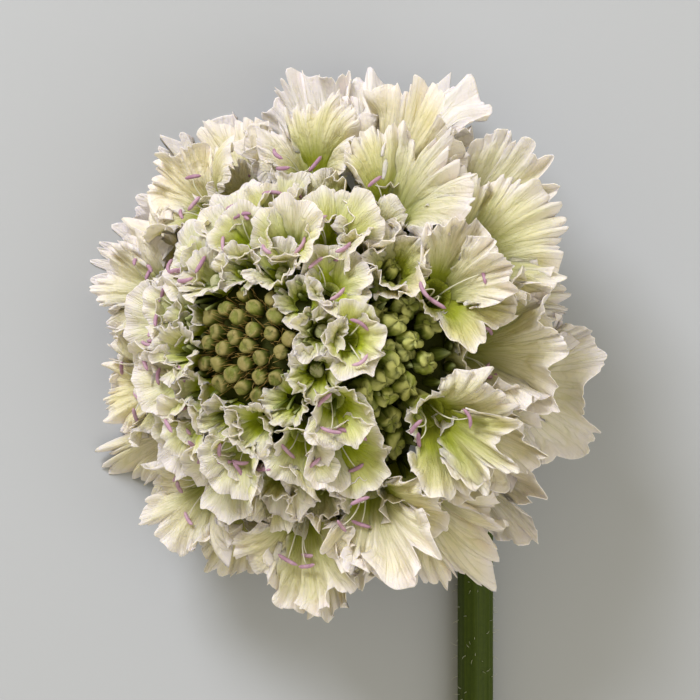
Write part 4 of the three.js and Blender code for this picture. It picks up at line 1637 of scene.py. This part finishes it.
@dataclass
class Chaff:
    """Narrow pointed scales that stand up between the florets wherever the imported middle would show.

    A row is given by (rho, h) and the angle from the head's axis to where its scales point.
    """

    head: Head
    rows: tuple[Spot, ...] = (
        (6.1, 12.9, 8), (7.1, 12.1, 20), (8.2, 10.8, 34), (9.6, 8.0, 60), (11.3, 5.4, 62), (13.1, 4.2, 56),
        (14.7, 2.7, 64),
    )
    pitch: float = 1.9
    length: float = 3.0
    width: float = 1.2
    thickness: float = 0.12

    def build(self) -> None:
        """Sets the scales in rows round the head, each a folded leaf that bends back towards its tip."""
        skin = Skin()
        u, v = np.linspace(-1, 1, 5)[None, None, :], np.linspace(0, 1, 6)[None, :, None]
        for r, (rho, h, polar) in enumerate(self.rows):
            count = int(2 * np.pi * rho / (self.pitch * min(1.0, rho / 9)))
            k = np.arange(count)
            ids = 5000 + 60 * r + k
            alpha = 2 * np.pi * (k + r / 2 + jitter(ids, 121, 0.4)) / count
            polar = np.radians(polar + jitter(ids, 122, 22))
            look = self.head.direction(polar, alpha + jitter(ids, 123, 0.2))
            beside = self.head.direction(np.pi / 2, alpha + np.pi / 2 + jitter(ids, 124, 0.6))
            side = square_to(beside, look)
            root = self.head.point(rho + jitter(ids, 125, 0.3), alpha, h - 0.5)
            length = each(self.length * (1 + jitter(ids, 126, 0.35)))
            half = self.width / 2 * np.sin(np.pi * (0.25 + 0.74 * v)) * each(1 + jitter(ids, 127, 0.3))
            bend = each(0.5 * jitter(ids, 128, 1.0)) * v * v + 0.22 * u * u
            sheet = lay(root, (look, v * length), (side, u * half), (np.cross(side, look), bend))
            # painted shade deeper towards each scale's root, down among the florets, and a paler tip
            tone = together(0.75 - 0.6 * v, each(draw(ids, 129)), 0.5 * smooth(0.6, 1.0, v))
            skin.add_shells(sheet, np.array(self.thickness), tone, together((u + 1) / 2, v))
        skin.make("chaff", CHAFF_SKIN, "bract")


# ---------------------------------------------------------------- studio


@dataclass
class Studio:
    """The pale floor, the soft lights and the camera that looks down on the flower.

    The camera hangs at height over a point centre away from the head's, and what it sees at the height of
    focus is field_of_view wide.
    """

    head: Head
    floor_side: float = 6000.0
    centre: tuple[float, float] = (2.4, -0.5)
    height: float = 365.0
    field_of_view: float = 70.0
    focus: float = 15.0
    sky: tuple[float, float, float, float] = (1.0, 0.91, 0.62, 1.0)
    sky_strength: float = 0.57

    def floor(self) -> None:
        """A wide plane just under the flower."""
        half = self.floor_side / 2 * MM
        mesh = bpy.data.meshes.new("floor")
        corners = [(-half, -half, 0), (half, -half, 0), (half, half, 0), (-half, half, 0)]
        mesh.from_pydata(corners, [], [(0, 1, 2, 3)])
        mesh.materials.append(Paper("studio_paper").material())
        plane = link("floor", mesh)

    def lamp(self, name: str, place: Spot, size: float, power: float) -> None:
        """A square soft light that faces the head.

        Args:
            name: the light's name.
            place: where it hangs, in mm from under the head's centre.
            size: the length of its side in mm.
            power: in watts.
        """
        data = bpy.data.lights.new(name, "AREA")
        data.size = size * MM
        data.energy = power
        made = link(name, data)
        at = self.head.centre * FLAT + place
        made.location = at * MM
        away = unit(at - self.head.centre)
        made.rotation_euler = (math.acos(away[2]), 0, math.atan2(away[0], -away[1]))

    def camera(self) -> None:
        """A long lens straight above the head, the stem running down the picture."""
        data = bpy.data.cameras.new("camera")
        data.sensor_width = 36.0
        data.lens = data.sensor_width * (self.height - self.focus) / self.field_of_view
        data.clip_end = 10
        made = link("camera", data)
        right, up = self.head.centre[:2] + self.centre
        made.location = np.array([right, up, self.height]) * MM
        bpy.context.scene.camera = made

    def build(self) -> None:
        """Sets up the floor, the lights, the sky and the camera."""
        self.floor()
        self.lamp("key", (-200, 345, 345), size=200, power=2.5)
        self.lamp("fill", (240, -200, 360), size=420, power=0.7)
        world = bpy.data.worlds.new("studio")
        world.use_nodes = True
        background = world.node_tree.nodes["Background"]
        background.inputs["Color"].default_value = self.sky
        background.inputs["Strength"].default_value = self.sky_strength
        bpy.context.scene.world = world
        bpy.context.scene.view_settings.view_transform = "Standard"
        self.camera()


# ---------------------------------------------------------------- the flower


def main() -> None:
    """Builds the flower from its back to its face, then the studio, and reports each piece."""
    logging.basicConfig(level=logging.INFO, format="%(message)s")
    head = Head.from_frame()
    Stem(head).build()
    Involucre(head).build()
    Receptacle(head).build()
    Chaff(head).build()
    outer_tubes, inner_tubes, stamens = Skin(), Skin(), Stamens()
    FloretRow(BACK_ROW, head, BACK_TISSUE, "outer_florets", "petal").build(outer_tubes, stamens)
    for row in (MIDDLE_ROW, FRONT_ROW, YOUNG_HIGH, YOUNG_LOW):
        FloretRow(row, head, OUTER_TISSUE, "outer_florets", "petal").build(outer_tubes, stamens)
    for row in (OUTER_RING, MIDDLE_RING):
        FloretRow(row, head, INNER_TISSUE, "inner_florets", "throat").build(inner_tubes, stamens)
    YoungCups(head).build(inner_tubes, stamens)
    outer_tubes.make("outer_tubes", OUTER_TISSUE, "petal", "outer_florets")
    inner_tubes.make("inner_tubes", INNER_TISSUE, "throat", "inner_florets")
    stamens.build()
    LateBuds(head).build()
    CapBuds(head).build()
    Studio(head).build()


if __name__ == "__main__":
    main()
